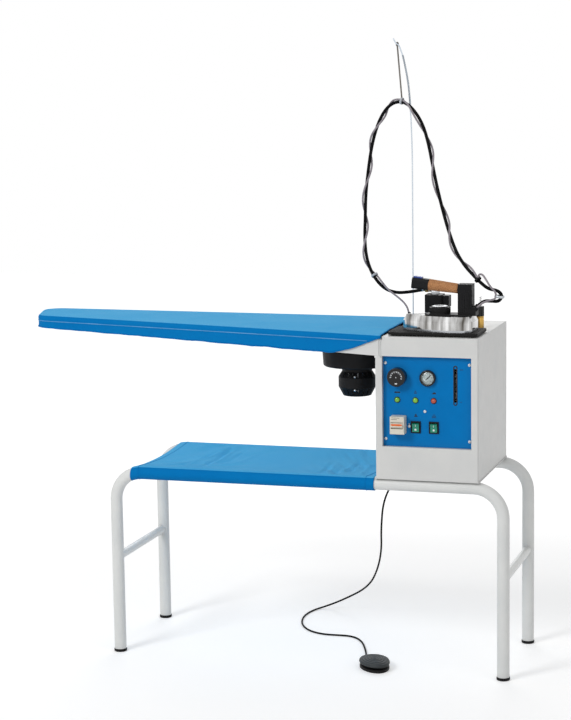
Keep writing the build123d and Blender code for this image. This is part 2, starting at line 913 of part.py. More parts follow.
with BuildPart() as control_panel:
    with BuildSketch(face):
        with Locations((window_width / 2, window_height / 2)):
            Rectangle(window_width - 2 * panel_fit, window_height - 2 * panel_fit)
        with Locations((knob_x, knob_z)):
            Circle(shaft_d / 2 + 1, mode=Mode.SUBTRACT)
        with Locations((gauge_x, gauge_z)):
            Circle(gauge_body_d / 2 + panel_fit, mode=Mode.SUBTRACT)
        with Locations((slot_x, (slot_low + slot_high) / 2)):
            SlotOverall(slot_high - slot_low, slot_width, rotation=90, mode=Mode.SUBTRACT)
        with Locations(*lamp_points):
            Circle(lamp_barrel_d / 2 + panel_fit / 4, mode=Mode.SUBTRACT)
        with Locations((breaker_x, breaker_z)):
            Rectangle(breaker_width + panel_fit, breaker_height + panel_fit, mode=Mode.SUBTRACT)
        with Locations(*switch_points):
            Rectangle(
                switch_width - 2 * switch_barrel_inset + panel_fit,
                switch_height - 2 * switch_barrel_inset + panel_fit,
                mode=Mode.SUBTRACT,
            )
        with Locations(*screw_points):
            Circle(panel_screw_d / 2 + running_fit, mode=Mode.SUBTRACT)
    extrude(amount=-panel_thickness)
control_panel.part.label = "control_panel"
export_step(control_panel.part, "parts/control_panel.step")

with BuildPart() as panel_screws:
    with BuildSketch(face):
        with Locations(*screw_points):
            Circle(panel_screw_head / 2)
    extrude(amount=panel_screw_head_height)
    fillet(panel_screws.edges().group_by(Axis.Y)[0], 0.6 * panel_screw_head_height)
    with BuildSketch(face):
        with Locations(*screw_points):
            Circle(panel_screw_d / 2)
    extrude(amount=-panel_screw_length)
panel_screws.part.label = "panel_screws"
export_step(panel_screws.part, "parts/panel_screws.step")

# Thermostat behind the panel and its knob in front
with BuildPart() as thermostat_body:
    with BuildSketch(face.offset(-panel_thickness)):
        with Locations((knob_x, knob_z)):
            Rectangle(thermostat_width, thermostat_height)
    extrude(amount=-thermostat_depth)
    with BuildSketch(face.offset(-panel_thickness)):
        with Locations((knob_x, knob_z)):
            Circle(shaft_d / 2)
    extrude(amount=panel_thickness + shaft_length)
thermostat_body.part.label = "thermostat_body"
export_step(thermostat_body.part, "parts/thermostat_body.step")

with BuildPart() as thermostat_knob:
    with BuildSketch(face.offset(knob_gap)):
        with Locations((knob_x, knob_z)):
            Circle(knob_d / 2)
    extrude(amount=knob_depth)
    fillet(thermostat_knob.edges().group_by(Axis.Y)[0], knob_gap)
    with BuildSketch(face):
        with Locations((knob_x, knob_z)):
            Circle(shaft_d / 2 + running_fit)
    extrude(amount=shaft_length + knob_gap, mode=Mode.SUBTRACT)
thermostat_knob.part.label = "thermostat_knob"
export_step(thermostat_knob.part, "parts/thermostat_knob.step")

# Pressure gauge with its needle on a pin
dial_depth = gauge_bezel - gauge_dial_depth
with BuildPart() as gauge_case:
    with BuildSketch(face.offset(-gauge_body_depth)):
        with Locations((gauge_x, gauge_z)):
            Circle(gauge_body_d / 2)
    extrude(amount=gauge_body_depth)
    with BuildSketch(face):
        with Locations((gauge_x, gauge_z)):
            Circle(gauge_d / 2)
    extrude(amount=gauge_bezel)
    fillet(gauge_case.edges().group_by(Axis.Y)[0], gauge_bezel / 4)
    with BuildSketch(face.offset(dial_depth)):
        with Locations((gauge_x, gauge_z)):
            Circle(gauge_dial_d / 2)
    extrude(amount=gauge_bezel, mode=Mode.SUBTRACT)
    with BuildSketch(face.offset(dial_depth)):
        with Locations((gauge_x, gauge_z)):
            Circle(needle_pin_d / 2)
    extrude(amount=0.7 * gauge_dial_depth)
gauge_case.part.label = "gauge_case"
export_step(gauge_case.part, "parts/gauge_case.step")

with BuildPart() as gauge_needle:
    with BuildSketch(face.offset(dial_depth + gauge_dial_depth / 4)):
        with Locations(Location((gauge_x, gauge_z, 0), (0, 0, needle_angle))):
            Polygon(
                (-needle_tail, -needle_width / 2),
                (0, -needle_width),
                (needle_length, -needle_width / 4),
                (needle_length, needle_width / 4),
                (0, needle_width),
                (-needle_tail, needle_width / 2),
                align=None,
            )
            Circle(needle_pin_d)
            Circle(needle_pin_d / 2 + running_fit, mode=Mode.SUBTRACT)
    extrude(amount=gauge_dial_depth / 5)
gauge_needle.part.label = "gauge_needle"
export_step(gauge_needle.part, "parts/gauge_needle.step")


# Pilot lamps: a domed lens on a barrel that passes through the panel
def pilot_lamp(point):
    with BuildPart() as lamp:
        with BuildSketch(face.offset(-lamp_barrel_length)):
            with Locations(point):
                Circle(lamp_barrel_d / 2)
        extrude(amount=lamp_barrel_length)
        with BuildSketch(face):
            with Locations(point):
                Circle(lamp_d / 2)
        extrude(amount=lamp_rise)
        fillet(lamp.edges().group_by(Axis.Y)[0], 0.8 * lamp_rise)
    return lamp.part


with BuildPart() as green_lamps:
    add(pilot_lamp(lamp_points[0]))
    add(pilot_lamp(lamp_points[1]))
green_lamps.part.label = "green_lamps"
export_step(green_lamps.part, "parts/green_lamps.step")

with BuildPart() as red_lamp:
    add(pilot_lamp(lamp_points[2]))
red_lamp.part.label = "red_lamp"
export_step(red_lamp.part, "parts/red_lamp.step")

# Circuit breaker: body behind the panel, nose in front, lever across the nose
lever_out = breaker_nose - 0.8 * lever_radius
with BuildPart() as breaker_body:
    with BuildSketch(face.offset(-panel_thickness - breaker_body_depth)):
        with Locations((breaker_x, breaker_z)):
            Rectangle(breaker_width, breaker_body_height)
    extrude(amount=breaker_body_depth)
    with BuildSketch(face.offset(-panel_thickness)):
        with Locations((breaker_x, breaker_z)):
            Rectangle(breaker_width, breaker_height)
    extrude(amount=panel_thickness + breaker_nose)
    fillet(breaker_body.edges().group_by(Axis.Y)[0].filter_by(Axis.X), 2)
    with BuildSketch(face.offset(lever_out)):
        with Locations((breaker_x, breaker_z)):
            Rectangle(lever_width + 1, 2 * lever_radius + 1)
    extrude(amount=2 * lever_radius, mode=Mode.SUBTRACT)
    with BuildSketch(face.offset(lever_out - lever_radius - 0.5)):
        with Locations((breaker_x, breaker_z)):
            Rectangle(lever_width + 1, 2 * lever_radius + 1)
    extrude(amount=2 * lever_radius, mode=Mode.SUBTRACT)
    with BuildSketch(Plane.YZ.offset(window_left + breaker_x - breaker_width / 2)):
        with Locations((panel_face - lever_out, window_low + breaker_z)):
            Circle(breaker_pin_r)
    extrude(amount=breaker_width)
breaker_body.part.label = "breaker_body"
export_step(breaker_body.part, "parts/breaker_body.step")

with BuildPart() as breaker_lever:
    with BuildSketch(Plane.YZ.offset(window_left + breaker_x - lever_width / 2)):
        with Locations((panel_face - lever_out, window_low + breaker_z)):
            Circle(lever_radius)
            with Locations((-lever_tip / 2, 0)):
                Rectangle(lever_tip, lever_bar)
            Circle(breaker_pin_r + running_fit, mode=Mode.SUBTRACT)
    extrude(amount=lever_width)
breaker_lever.part.label = "breaker_lever"
export_step(breaker_lever.part, "parts/breaker_lever.step")

# Two rocker switches: frames with barrels behind the panel, and tilting rockers on pins
rocker_pivot = -rocker_depth / 3
with BuildPart() as switch_bezels:
    with BuildSketch(face):
        with Locations(*switch_points):
            Rectangle(switch_width, switch_height)
    extrude(amount=switch_rim)
    fillet(switch_bezels.edges().group_by(Axis.Y)[0], switch_rim / 3)
    with BuildSketch(face):
        with Locations(*switch_points):
            Rectangle(switch_width - 2 * switch_barrel_inset, switch_height - 2 * switch_barrel_inset)
    extrude(amount=-switch_barrel_depth)
    with BuildSketch(face.offset(switch_rim)):
        with Locations(*switch_points):
            Rectangle(rocker_width + 2 * rocker_gap, rocker_height + 2 * rocker_gap)
    extrude(amount=-switch_rim - 1.6 * rocker_depth, mode=Mode.SUBTRACT)
    for point_x, point_z in switch_points:
        with Locations((window_left + point_x, panel_face - rocker_pivot, window_low + point_z)):
            Cylinder(rocker_pin_r, rocker_width + 4 * rocker_gap, rotation=(0, 90, 0))
switch_bezels.part.label = "switch_bezels"
export_step(switch_bezels.part, "parts/switch_bezels.step")


def rocker(point):
    # local x points out of the panel and local y down, both laid over by the tilt: pressed in below
    x = window_left + point[0] - rocker_width / 2
    lean = radians(rocker_tilt)
    tilted = Plane(origin=(x, panel_face - rocker_pivot, window_low + point[1]),
                   x_dir=(0, -cos(lean), -sin(lean)), z_dir=(1, 0, 0))
    half = rocker_height / 2 - rocker_gap
    crest = switch_rim + rocker_rise - rocker_pivot - half * tan(lean)
    with BuildPart() as key:
        with BuildSketch(tilted):
            Polygon(
                (-rocker_depth / 2, -half / 3),
                (-rocker_depth / 2, half / 3),
                (rocker_depth / 6, half),
                (crest, half),
                (crest - rocker_rise / 2, 0),
                (crest, -half),
                (rocker_depth / 6, -half),
                align=None,
            )
            Circle(rocker_pin_r + running_fit, mode=Mode.SUBTRACT)
        extrude(amount=rocker_width)
    return key.part


with BuildPart() as boiler_rocker:
    add(rocker(switch_points[0]))
boiler_rocker.part.label = "boiler_rocker"
export_step(boiler_rocker.part, "parts/boiler_rocker.step")

with BuildPart() as fan_rocker:
    add(rocker(switch_points[1]))
fan_rocker.part.label = "fan_rocker"
export_step(fan_rocker.part, "parts/fan_rocker.step")

# Cabinet base, lid and rear cover
with BuildPart() as cabinet_base:
    slab(cabinet_left - base_lip, cabinet_right + base_lip, cabinet_front, cabinet_rear,
         rail_top, body_low)
    with Locations((cabinet_x, cabinet_y, rail_top)):
        with GridLocations(bearer_spacing, base_bolt_pitch, 2, 2):
            Cylinder(bolt_hole, 4 * base_thickness, mode=Mode.SUBTRACT)
    with Locations((pedal_gland_x, pedal_gland_y, rail_top)):
        Cylinder(gland_thread_r + hole_clearance, 4 * base_thickness, mode=Mode.SUBTRACT)
cabinet_base.part.label = "cabinet_base"
export_step(cabinet_base.part, "parts/cabinet_base.step")

with BuildPart() as cabinet_lid:
    slab(notch_wall, cabinet_right, cabinet_front, cabinet_rear, body_high, lid_top)
    round_front(cabinet_front, edge_radius)
    fillet(cabinet_lid.faces().sort_by(Axis.Z)[-1].edges(), lid_edge)
    slab(notch_wall + sheet, cabinet_right - sheet, cabinet_front + sheet, cabinet_rear - sheet,
         body_high, lid_top - sheet, mode=Mode.SUBTRACT)
    for hole_x, hole_y, hole_r in (
        (filler_x, filler_y, filler_tube_r),
        (valve_x, valve_y, valve_pipe_r),
        (lid_gland_x, lid_gland_y, gland_thread_r),
    ):
        with Locations((hole_x, hole_y, lid_top)):
            Cylinder(hole_r + hole_clearance, 4 * sheet, mode=Mode.SUBTRACT)
cabinet_lid.part.label = "cabinet_lid"
export_step(cabinet_lid.part, "parts/cabinet_lid.step")

drain_z = body_low + drain_rise
mains_gland_z = body_low + mains_gland_rise
with BuildPart() as rear_cover:
    slab(cabinet_left, cabinet_right, cabinet_rear - sheet, cabinet_rear, body_low, body_high)
    slab(cabinet_left, notch_wall, cabinet_rear - sheet, cabinet_rear, ledge_z, body_high,
         mode=Mode.SUBTRACT)
    with BuildSketch(Plane.XZ.offset(-cabinet_rear)):
        for side in (-1, 1):
            with Locations((cabinet_x + side * vent_slot_length, (ledge_z + window_low) / 2)):
                with GridLocations(vent_slot_length, vent_slot_pitch, 1, vent_slots):
                    SlotOverall(vent_slot_length, vent_slot_width)
        with Locations((boiler_x, drain_z)):
            Circle(drain_pipe_r + hole_clearance)
        with Locations((mains_gland_x, mains_gland_z)):
            Circle(gland_thread_r + hole_clearance)
    extrude(amount=2 * sheet, mode=Mode.SUBTRACT)
rear_cover.part.label = "rear_cover"
export_step(rear_cover.part, "parts/rear_cover.step")

# Boiler: a standing tank with domed ends, bosses, level pipes and legs
tank_low = body_low + boiler_low
tank_high = tank_low + boiler_length
boss_high = tank_high + boiler_dome + boss_rise
element_z = tank_low + element_rise
boss_face_x = boiler_x - boiler_r - element_boss_length
element_face = Plane(origin=(boss_face_x, boiler_y, element_z), z_dir=(1, 0, 0))


def dome_point(r, dome, radius):
    # height of a spherical cap above its rim, at the distance r from its axis
    sphere = (radius**2 + dome**2) / (2 * dome)
    return sqrt(sphere**2 - r**2) - (sphere - dome)


def vessel(radius, low, high, dome):
    with BuildPart() as solid:
        with BuildSketch(Plane(origin=(boiler_x, boiler_y, 0), x_dir=(1, 0, 0), z_dir=(0, -1, 0))):
            with BuildLine():
                middle = dome_point(radius / 2, dome, radius)
                Line((0, low - dome), (0, high + dome))
                ThreePointArc((0, high + dome), (radius / 2, high + middle), (radius, high))
                Line((radius, high), (radius, low))
                ThreePointArc((radius, low), (radius / 2, low - middle), (0, low - dome))
            make_face()
        revolve(axis=Axis((boiler_x, boiler_y, 0), (0, 0, 1)))
    return solid.part


with BuildPart() as boiler_tank:
    add(vessel(boiler_r, tank_low, tank_high, boiler_dome))
    for boss_x, boss_y in ((filler_x, filler_y), (valve_x, valve_y)):
        with Locations((boss_x, boss_y, boss_high - boss_depth / 2)):
            Cylinder(boss_r, boss_depth)
    with BuildSketch(element_face):
        Circle(element_boss_r)
    extrude(amount=element_boss_length + element_boss_root)
    # legs lap the shell, with feet on the base
    for angle in tank_leg_angles:
        leg_r = boiler_r + leg_thickness / 2 - boiler_wall / 2
        leg_high = tank_low + leg_lap
        spot = (boiler_x + leg_r * cos(radians(angle)), boiler_y + leg_r * sin(radians(angle)))
        with Locations(Location((spot[0], spot[1], (body_low + leg_high) / 2), (0, 0, angle))):
            Box(leg_thickness, leg_width, leg_high - body_low)
        toe = boiler_r + leg_foot / 2
        spot = (boiler_x + toe * cos(radians(angle)), boiler_y + toe * sin(radians(angle)))
        with Locations(Location((spot[0], spot[1], body_low + leg_thickness / 2), (0, 0, angle))):
            Box(leg_foot, leg_width, leg_thickness)
    add(vessel(boiler_r - boiler_wall, tank_low, tank_high, boiler_dome - boiler_wall / 2),
        mode=Mode.SUBTRACT)
    for boss_x, boss_y in ((filler_x, filler_y), (valve_x, valve_y)):
        with Locations((boss_x, boss_y, boss_high)):
            Cylinder(filler_bore_r, 2 * boss_depth, mode=Mode.SUBTRACT)
    with BuildSketch(element_face):
        Circle(element_plug_r + running_fit)
    extrude(amount=element_boss_length + element_boss_root, mode=Mode.SUBTRACT)
    with Locations((boiler_x, boiler_y, tank_low - boiler_dome)):
        Cylinder(drain_pipe_r + running_fit, boiler_dome, mode=Mode.SUBTRACT)
boiler_tank.part.label = "boiler_tank"
export_step(boiler_tank.part, "parts/boiler_tank.step")

with BuildPart() as heating_element:
    with BuildSketch(element_face):
        Circle(element_boss_r)
    extrude(amount=-element_flange)
    with BuildSketch(element_face):
        Circle(element_plug_r)
    extrude(amount=element_boss_length)
    with BuildLine() as element_loop:
        FilletPolyline(
            (boss_face_x, boiler_y - element_spread / 2, element_z),
            (boss_face_x + element_reach, boiler_y - element_spread / 2, element_z),
            (boss_face_x + element_reach, boiler_y + element_spread / 2, element_z),
            (boss_face_x, boiler_y + element_spread / 2, element_z),
            radius=0.45 * element_spread,
        )
    with BuildSketch(Plane(element_loop.line ^ 0)):
        Circle(element_tube_r)
    sweep(path=element_loop.line)
heating_element.part.label = "heating_element"
export_step(heating_element.part, "parts/heating_element.step")

# Water level glass behind the panel slot, in fittings on two pipes from the tank
glass_x = window_left + slot_x
glass_y = panel_back + glass_setback
fitting_low = window_low + slot_low - glass_fitting
fitting_high = window_low + slot_high
glass_low = fitting_low + glass_fitting - glass_socket
glass_high = fitting_high + glass_socket
with BuildPart() as level_glass:
    with Locations((glass_x, glass_y, (glass_low + glass_high) / 2)):
        Cylinder(glass_d / 2, glass_high - glass_low)
        Cylinder(glass_bore / 2, glass_high - glass_low, mode=Mode.SUBTRACT)
level_glass.part.label = "level_glass"
export_step(level_glass.part, "parts/level_glass.step")

with BuildPart() as level_pipes:
    for low in (fitting_low, fitting_high):
        with Locations((glass_x, glass_y, low + glass_fitting / 2)):
            Box(glass_fitting + 1, glass_fitting, glass_fitting)
        with BuildSketch(Plane(origin=(glass_x, glass_y, low + glass_fitting / 2), z_dir=(0, 1, 0))):
            Circle(pipe_r)
        extrude(amount=boiler_y - glass_y)
    with Locations((boiler_x, boiler_y, (tank_low + tank_high) / 2)):
        Cylinder(boiler_r, boiler_length, mode=Mode.SUBTRACT)
    with Locations((glass_x, glass_y, (glass_low + glass_high) / 2)):
        Cylinder(glass_d / 2 + running_fit, glass_high - glass_low, mode=Mode.SUBTRACT)
level_pipes.part.label = "level_pipes"
export_step(level_pipes.part, "parts/level_pipes.step")

# Drain: pipe from the tank's bottom to a ball valve behind the cabinet
valve_end_y = cabinet_rear + drain_body_length
spout_y = valve_end_y - drain_spout_r - 2
stem_y = cabinet_rear + drain_body_r + 2
with BuildPart() as drain_valve:
    with BuildLine() as drain_line:
        FilletPolyline(
            (boiler_x, boiler_y, tank_low - boiler_dome + boiler_wall),
            (boiler_x, boiler_y, drain_z),
            (boiler_x, cabinet_rear + drain_body_r, drain_z),
            radius=1.5 * drain_pipe_r,
        )
    with BuildSketch(Plane(drain_line.line ^ 0)):
        Circle(drain_pipe_r)
    sweep(path=drain_line.line)
    with BuildSketch(Plane(origin=(boiler_x, cabinet_rear + hole_clearance, drain_z), z_dir=(0, 1, 0))):
        RegularPolygon(drain_body_r, 6)
    extrude(amount=drain_body_length - hole_clearance)
    with Locations((boiler_x, spout_y, drain_z - drain_spout_drop / 2)):
        Cylinder(drain_spout_r, drain_spout_drop)
    with Locations((boiler_x, spout_y, drain_z - drain_spout_drop / 2 - drain_spout_r)):
        Cylinder(0.7 * drain_spout_r, drain_spout_drop, mode=Mode.SUBTRACT)
    with Locations((boiler_x, stem_y, drain_z + 0.75 * drain_body_r)):
        Cylinder(drain_stem_r, 1.5 * drain_body_r)
drain_valve.part.label = "drain_valve"
export_step(drain_valve.part, "parts/drain_valve.step")

lever_z = drain_z + drain_body_r + 1
with BuildPart() as drain_lever:
    with BuildSketch(Plane.XY.offset(lever_z)):
        with Locations((boiler_x + drain_lever_length / 2 - drain_lever_width / 2, stem_y)):
            SlotOverall(drain_lever_length, drain_lever_width)
        with Locations((boiler_x, stem_y)):
            Circle(drain_stem_r + running_fit, mode=Mode.SUBTRACT)
    extrude(amount=drain_lever_thickness)
drain_lever.part.label = "drain_lever"
export_step(drain_lever.part, "parts/drain_lever.step")

# Filler: a collared neck on the tank's boss, closed by a screwed plug with a lobed knob
collar_high = lid_top + filler_collar_height
with BuildPart() as filler_neck:
    with Locations((filler_x, filler_y, (boss_high + lid_top) / 2)):
        Cylinder(filler_tube_r, lid_top - boss_high)
    with Locations((filler_x, filler_y, lid_top + filler_collar_height / 2)):
        Cylinder(filler_collar_r, filler_collar_height)
    chamfer(filler_neck.edges().group_by(Axis.Z)[-1], 1)
    with Locations((filler_x, filler_y, lid_top)):
        Cylinder(filler_bore_r, 4 * filler_collar_height, mode=Mode.SUBTRACT)
    with Locations((filler_x, filler_y, collar_high)):
        Cylinder(filler_thread_r, 2 * filler_thread_depth, mode=Mode.SUBTRACT)
filler_neck.part.label = "filler_neck"
export_step(filler_neck.part, "parts/filler_neck.step")

plug_low = collar_high + plug_gap
plug_high = plug_low + plug_flange
with BuildPart() as filler_plug:
    add(turned([
        (0, plug_low - filler_thread_depth + 1),
        (filler_thread_r - 3 * running_fit, plug_low - filler_thread_depth + 1),
        (filler_thread_r - 3 * running_fit, plug_low),
        (filler_collar_r, plug_low),
        (filler_collar_r, plug_high),
        (plug_stem_r, plug_high),
        (plug_stem_r, plug_high + plug_stem),
        (0, plug_high + plug_stem),
    ], filler_x, filler_y))
filler_plug.part.label = "filler_plug"
export_step(filler_plug.part, "parts/filler_plug.step")

knob_low = plug_high + plug_gap
with BuildPart() as filler_knob:
    with BuildSketch(Plane.XY.offset(knob_low)):
        with Locations((filler_x, filler_y)):
            Circle(filler_knob_r)
            with PolarLocations(1.22 * filler_knob_r, filler_lobes):
                Circle(filler_knob_r / 3, mode=Mode.SUBTRACT)
    extrude(amount=filler_knob_height)
    fillet(filler_knob.edges().group_by(Axis.Z)[-1], filler_knob_r / 8)
    with Locations((filler_x, filler_y, knob_low)):
        Cylinder(plug_stem_r + running_fit, 2 * plug_stem + 1, mode=Mode.SUBTRACT)
filler_knob.part.label = "filler_knob"
export_step(filler_knob.part, "parts/filler_knob.step")

# Steam valve: brass body on a pipe from the tank, the coil, and behind it a riser with the hose outlet
body_z = lid_top + valve_body_rise
coil_z = body_z + valve_body_height
coil_high = coil_z + coil_height
outlet_z = lid_top + outlet_rise
riser_y = valve_y + riser_offset
hose_start_x = valve_x - outlet_length
with BuildPart() as steam_valve:
    with Locations((valve_x, valve_y, (boss_high + body_z) / 2)):
        Cylinder(valve_pipe_r, body_z - boss_high)
    slab(valve_x - valve_body_width / 2, valve_x + valve_body_width / 2,
         valve_y - valve_body_depth / 2, riser_y + riser_r, body_z, coil_z)
    fillet(steam_valve.edges().filter_by(Axis.Z), 3)
    with Locations((valve_x, valve_y, (coil_z + coil_high + valve_nut_height) / 2)):
        Cylinder(valve_stem_r, coil_height + valve_nut_height)
    with BuildSketch(Plane.XY.offset(coil_high)):
        with Locations((valve_x, valve_y)):
            RegularPolygon(valve_nut_r, 6)
    extrude(amount=valve_nut_height)
    with Locations((valve_x, riser_y, (coil_z + outlet_z) / 2)):
        Cylinder(riser_r, outlet_z - coil_z + riser_r)
    with BuildSketch(Plane(origin=(valve_x, riser_y, outlet_z), z_dir=(-1, 0, 0))):
        Circle(riser_r)
    extrude(amount=outlet_length)
    with BuildSketch(Plane(origin=(valve_x + valve_body_width / 2, valve_y, body_z + valve_body_height / 2),
                           z_dir=(1, 0, 0))):
        RegularPolygon(0.35 * valve_body_depth, 6)
    extrude(amount=filler_collar_r)
steam_valve.part.label = "steam_valve"
export_step(steam_valve.part, "parts/steam_valve.step")

with BuildPart() as valve_coil:
    slab(valve_x - coil_width / 2, valve_x + coil_width / 2, valve_y - coil_depth / 2,
         valve_y + coil_depth / 2, coil_z, coil_high)
    fillet(valve_coil.edges().filter_by(Axis.Z), 4)
    plug_left = valve_x + coil_width / 2
    slab(plug_left, plug_left + plug_box_width, valve_y - plug_box_depth / 2,
         valve_y + plug_box_depth / 2, coil_high - plug_box_height, coil_high - 2)
    with Locations((valve_x, valve_y, coil_z)):
        Cylinder(valve_stem_r + coil_fit, 4 * coil_height, mode=Mode.SUBTRACT)
valve_coil.part.label = "valve_coil"
export_step(valve_coil.part, "parts/valve_coil.step")


# Cable glands: on the lid, under the base for the pedal, and the mains inlet at the rear
def gland(seat, cord_r):
    with BuildPart() as body:
        with BuildSketch(seat):
            RegularPolygon(gland_flats / 2, 6, major_radius=False)
        extrude(amount=gland_hex)
        with BuildSketch(seat.offset(gland_hex)):
            Circle(gland_dome_r)
        extrude(amount=gland_dome, taper=6)
        with BuildSketch(seat):
            Circle(gland_thread_r)
        extrude(amount=-gland_thread)
        with BuildSketch(seat.offset(gland_hex + gland_dome)):
            Circle(cord_r + running_fit)
        extrude(amount=-(gland_hex + gland_dome + gland_thread), mode=Mode.SUBTRACT)
    return body.part


lid_gland = Plane(origin=(lid_gland_x, lid_gland_y, lid_top))
pedal_gland = Plane(origin=(pedal_gland_x, pedal_gland_y, rail_top), z_dir=(0, 0, -1))
mains_gland = Plane(origin=(mains_gland_x, cabinet_rear, mains_gland_z), z_dir=(0, 1, 0))
with BuildPart() as cable_glands:
    add(gland(lid_gland, cable_d / 2))
    add(gland(pedal_gland, pedal_cord_d / 2))
    add(gland(mains_gland, cable_d / 2))
cable_glands.part.label = "cable_glands"
export_step(cable_glands.part, "parts/cable_glands.step")

# Rest mat with rows of small feet
mat_top = lid_top + mat_height
with BuildPart() as iron_mat:
    with BuildSketch(Plane.XY.offset(lid_top + mat_foot_height)):
        with Locations((mat_x, mat_y)):
            RectangleRounded(mat_width, mat_depth, 6)
    extrude(amount=mat_height - mat_foot_height)
    with Locations((mat_x, mat_y, lid_top + (mat_foot_height + 1) / 2)):
        with GridLocations(mat_foot_pitch, mat_foot_pitch,
                           int(mat_width / mat_foot_pitch), int(mat_depth / mat_foot_pitch)):
            Cylinder(mat_foot_r, mat_foot_height + 1)
iron_mat.part.label = "iron_mat"
export_step(iron_mat.part, "parts/iron_mat.step")


# Iron: every layer has the same plan, a point at the left and a cut-off rear at the right
def iron_plan(inset):
    half = iron_width / 2
    rear_x = iron_nose_x + iron_length
    side = [(iron_nose_x + along * iron_length, across * half) for along, across in iron_outline]
    side.append((rear_x, iron_rear_width / 2))
    Polygon(
        (iron_nose_x - nose_overrun, iron_y),
        *[(x, iron_y - y) for x, y in side],
        *[(x, iron_y + y) for x, y in reversed(side)],
        align=None,
    )
    fillet(vertices().group_by(Axis.X)[1], 2.4 * half)
    fillet(vertices().filter_by(lambda v: v.X > rear_x - 1), iron_rear_width / 7)
    fillet(vertices().filter_by(lambda v: abs(v.X - side[2][0]) < 1), iron_rear_width / 4)
    fillet(vertices().sort_by(Axis.X)[0], iron_width / 9)
    if inset:
        offset(amount=-inset)


sole_high = mat_top + sole_height
band_high = sole_high + cover_band
iron_high = band_high + cover_bevel


def iron_shell(inset, low, drop):
    with BuildPart() as shell:
        with BuildSketch(Plane.XY.offset(low)):
            iron_plan(inset)
        extrude(amount=band_high - low)
        with BuildSketch(Plane.XY.offset(band_high)):
            iron_plan(inset)
        with BuildSketch(Plane.XY.offset(iron_high - drop)):
            iron_plan(inset + cover_bevel_inset)
        loft(ruled=True)
    return shell.part


with BuildPart() as soleplate:
    with BuildSketch(Plane.XY.offset(mat_top)):
        iron_plan(0)
    extrude(amount=sole_height)
    with BuildSketch(Plane.XY.offset(sole_high)):
        iron_plan(sole_core_inset)
    extrude(amount=sole_core)
soleplate.part.label = "soleplate"
export_step(soleplate.part, "parts/soleplate.step")

with BuildPart() as iron_cover:
    add(iron_shell(0, sole_high, 0))
    add(iron_shell(iron_sheet, sole_high, iron_sheet), mode=Mode.SUBTRACT)
iron_cover.part.label = "iron_cover"
export_step(iron_cover.part, "parts/iron_cover.step")

# Handle: base, ribbed rear support, inclined grip core and nose, rear block with the hose nozzle
handle_base_high = iron_high + handle_base_height
grip_low = Vector(iron_nose_x + grip_left + grip_length, iron_y, iron_high + grip_rise)
grip_dir = Vector(-cos(radians(grip_slope)), 0, sin(radians(grip_slope)))
grip_end = Plane(origin=grip_low, x_dir=(0, -1, 0), z_dir=grip_dir)
nose_plane = grip_end.offset(grip_length)
support_x0 = iron_nose_x + support_left
support_x1 = support_x0 + support_length
inlet_x0 = iron_nose_x + inlet_left
inlet_x1 = inlet_x0 + inlet_length
nozzle_dir = Vector(1, 0, 1).normalized()
nozzle_seat = Vector(inlet_x1 - nozzle_r, iron_y + nozzle_r / 2, iron_high + inlet_height - nozzle_r)
hose_end = nozzle_seat + nozzle_dir * nozzle_length
cable_seat = nozzle_seat + Vector(0, -2 * nozzle_r, -nozzle_r / 2)
cable_end = cable_seat + nozzle_dir * nozzle_length

with BuildPart() as iron_handle:
    slab(iron_nose_x + handle_base_left, iron_nose_x + handle_base_right,
         iron_y - handle_base_width / 2, iron_y + handle_base_width / 2, iron_high, handle_base_high)
    fillet(iron_handle.edges().filter_by(Axis.Z), handle_base_width / 5)
    slab(support_x0, support_x1, iron_y - support_width / 2, iron_y + support_width / 2,
         handle_base_high, iron_high + grip_rise + support_top / 2)
    for rib in range(5):
        rib_x = support_x0 + (rib + 1) * support_length / 6
        for side in (-1, 1):
            with Locations((rib_x, iron_y + side * support_width / 2, iron_high + 0.45 * grip_rise)):
                Box(2.5, 2.5, 0.7 * grip_rise, mode=Mode.SUBTRACT)
    with BuildSketch(grip_end.offset(-support_length / 3)):
        Circle(grip_core_r)
    extrude(amount=grip_length + support_length / 3 + nose_length / 2)
    with BuildSketch(nose_plane.offset(running_fit)):
        RectangleRounded(nose_width, nose_height, nose_width / 4)
    extrude(amount=nose_length)
    slab(inlet_x0, inlet_x1, iron_y - inlet_width / 2, iron_y + inlet_width / 2, iron_high,
         iron_high + inlet_height)
    for seat in (nozzle_seat, cable_seat):
        with BuildSketch(Plane(origin=seat - nozzle_dir * nozzle_r, z_dir=nozzle_dir)):
            Circle(nozzle_r)
        extrude(amount=nozzle_length + nozzle_r)
    # pocket for the steam button
    with BuildSketch(nose_plane.offset(nose_length - button_length - 2 * button_gap - 2)):
        with Locations((0, nose_height / 2)):
            Rectangle(button_width + 2 * button_gap, 2 * (button_height - button_stand
                                                          + button_travel + button_gap))
    extrude(amount=button_length + 2 * button_gap, mode=Mode.SUBTRACT)
    with Locations((iron_nose_x + dial_x, iron_y, handle_base_high + dial_height / 4)):
        Cylinder(dial_stem_r, dial_height / 2)
iron_handle.part.label = "iron_handle"
export_step(iron_handle.part, "parts/iron_handle.step")

with BuildPart() as cork_grip:
    with BuildSketch(grip_end.offset(running_fit)):
        Circle(grip_rear_r)
    with BuildSketch(nose_plane):
        Circle(grip_front_r)
    loft()
    with BuildSketch(grip_end):
        Circle(grip_core_r + running_fit)
    extrude(amount=grip_length, mode=Mode.SUBTRACT)
cork_grip.part.label = "cork_grip"
export_step(cork_grip.part, "parts/cork_grip.step")

with BuildPart() as steam_button:
    with BuildSketch(nose_plane.offset(nose_length - button_length - button_gap - 2)):
        with Locations((0, nose_height / 2 + button_stand - button_height / 2)):
            Rectangle(button_width, button_height)
    extrude(amount=button_length)
    fillet(steam_button.faces().sort_by(Axis.Z)[-1].edges(), button_height / 5)
steam_button.part.label = "steam_button"
export_step(steam_button.part, "parts/steam_button.step")

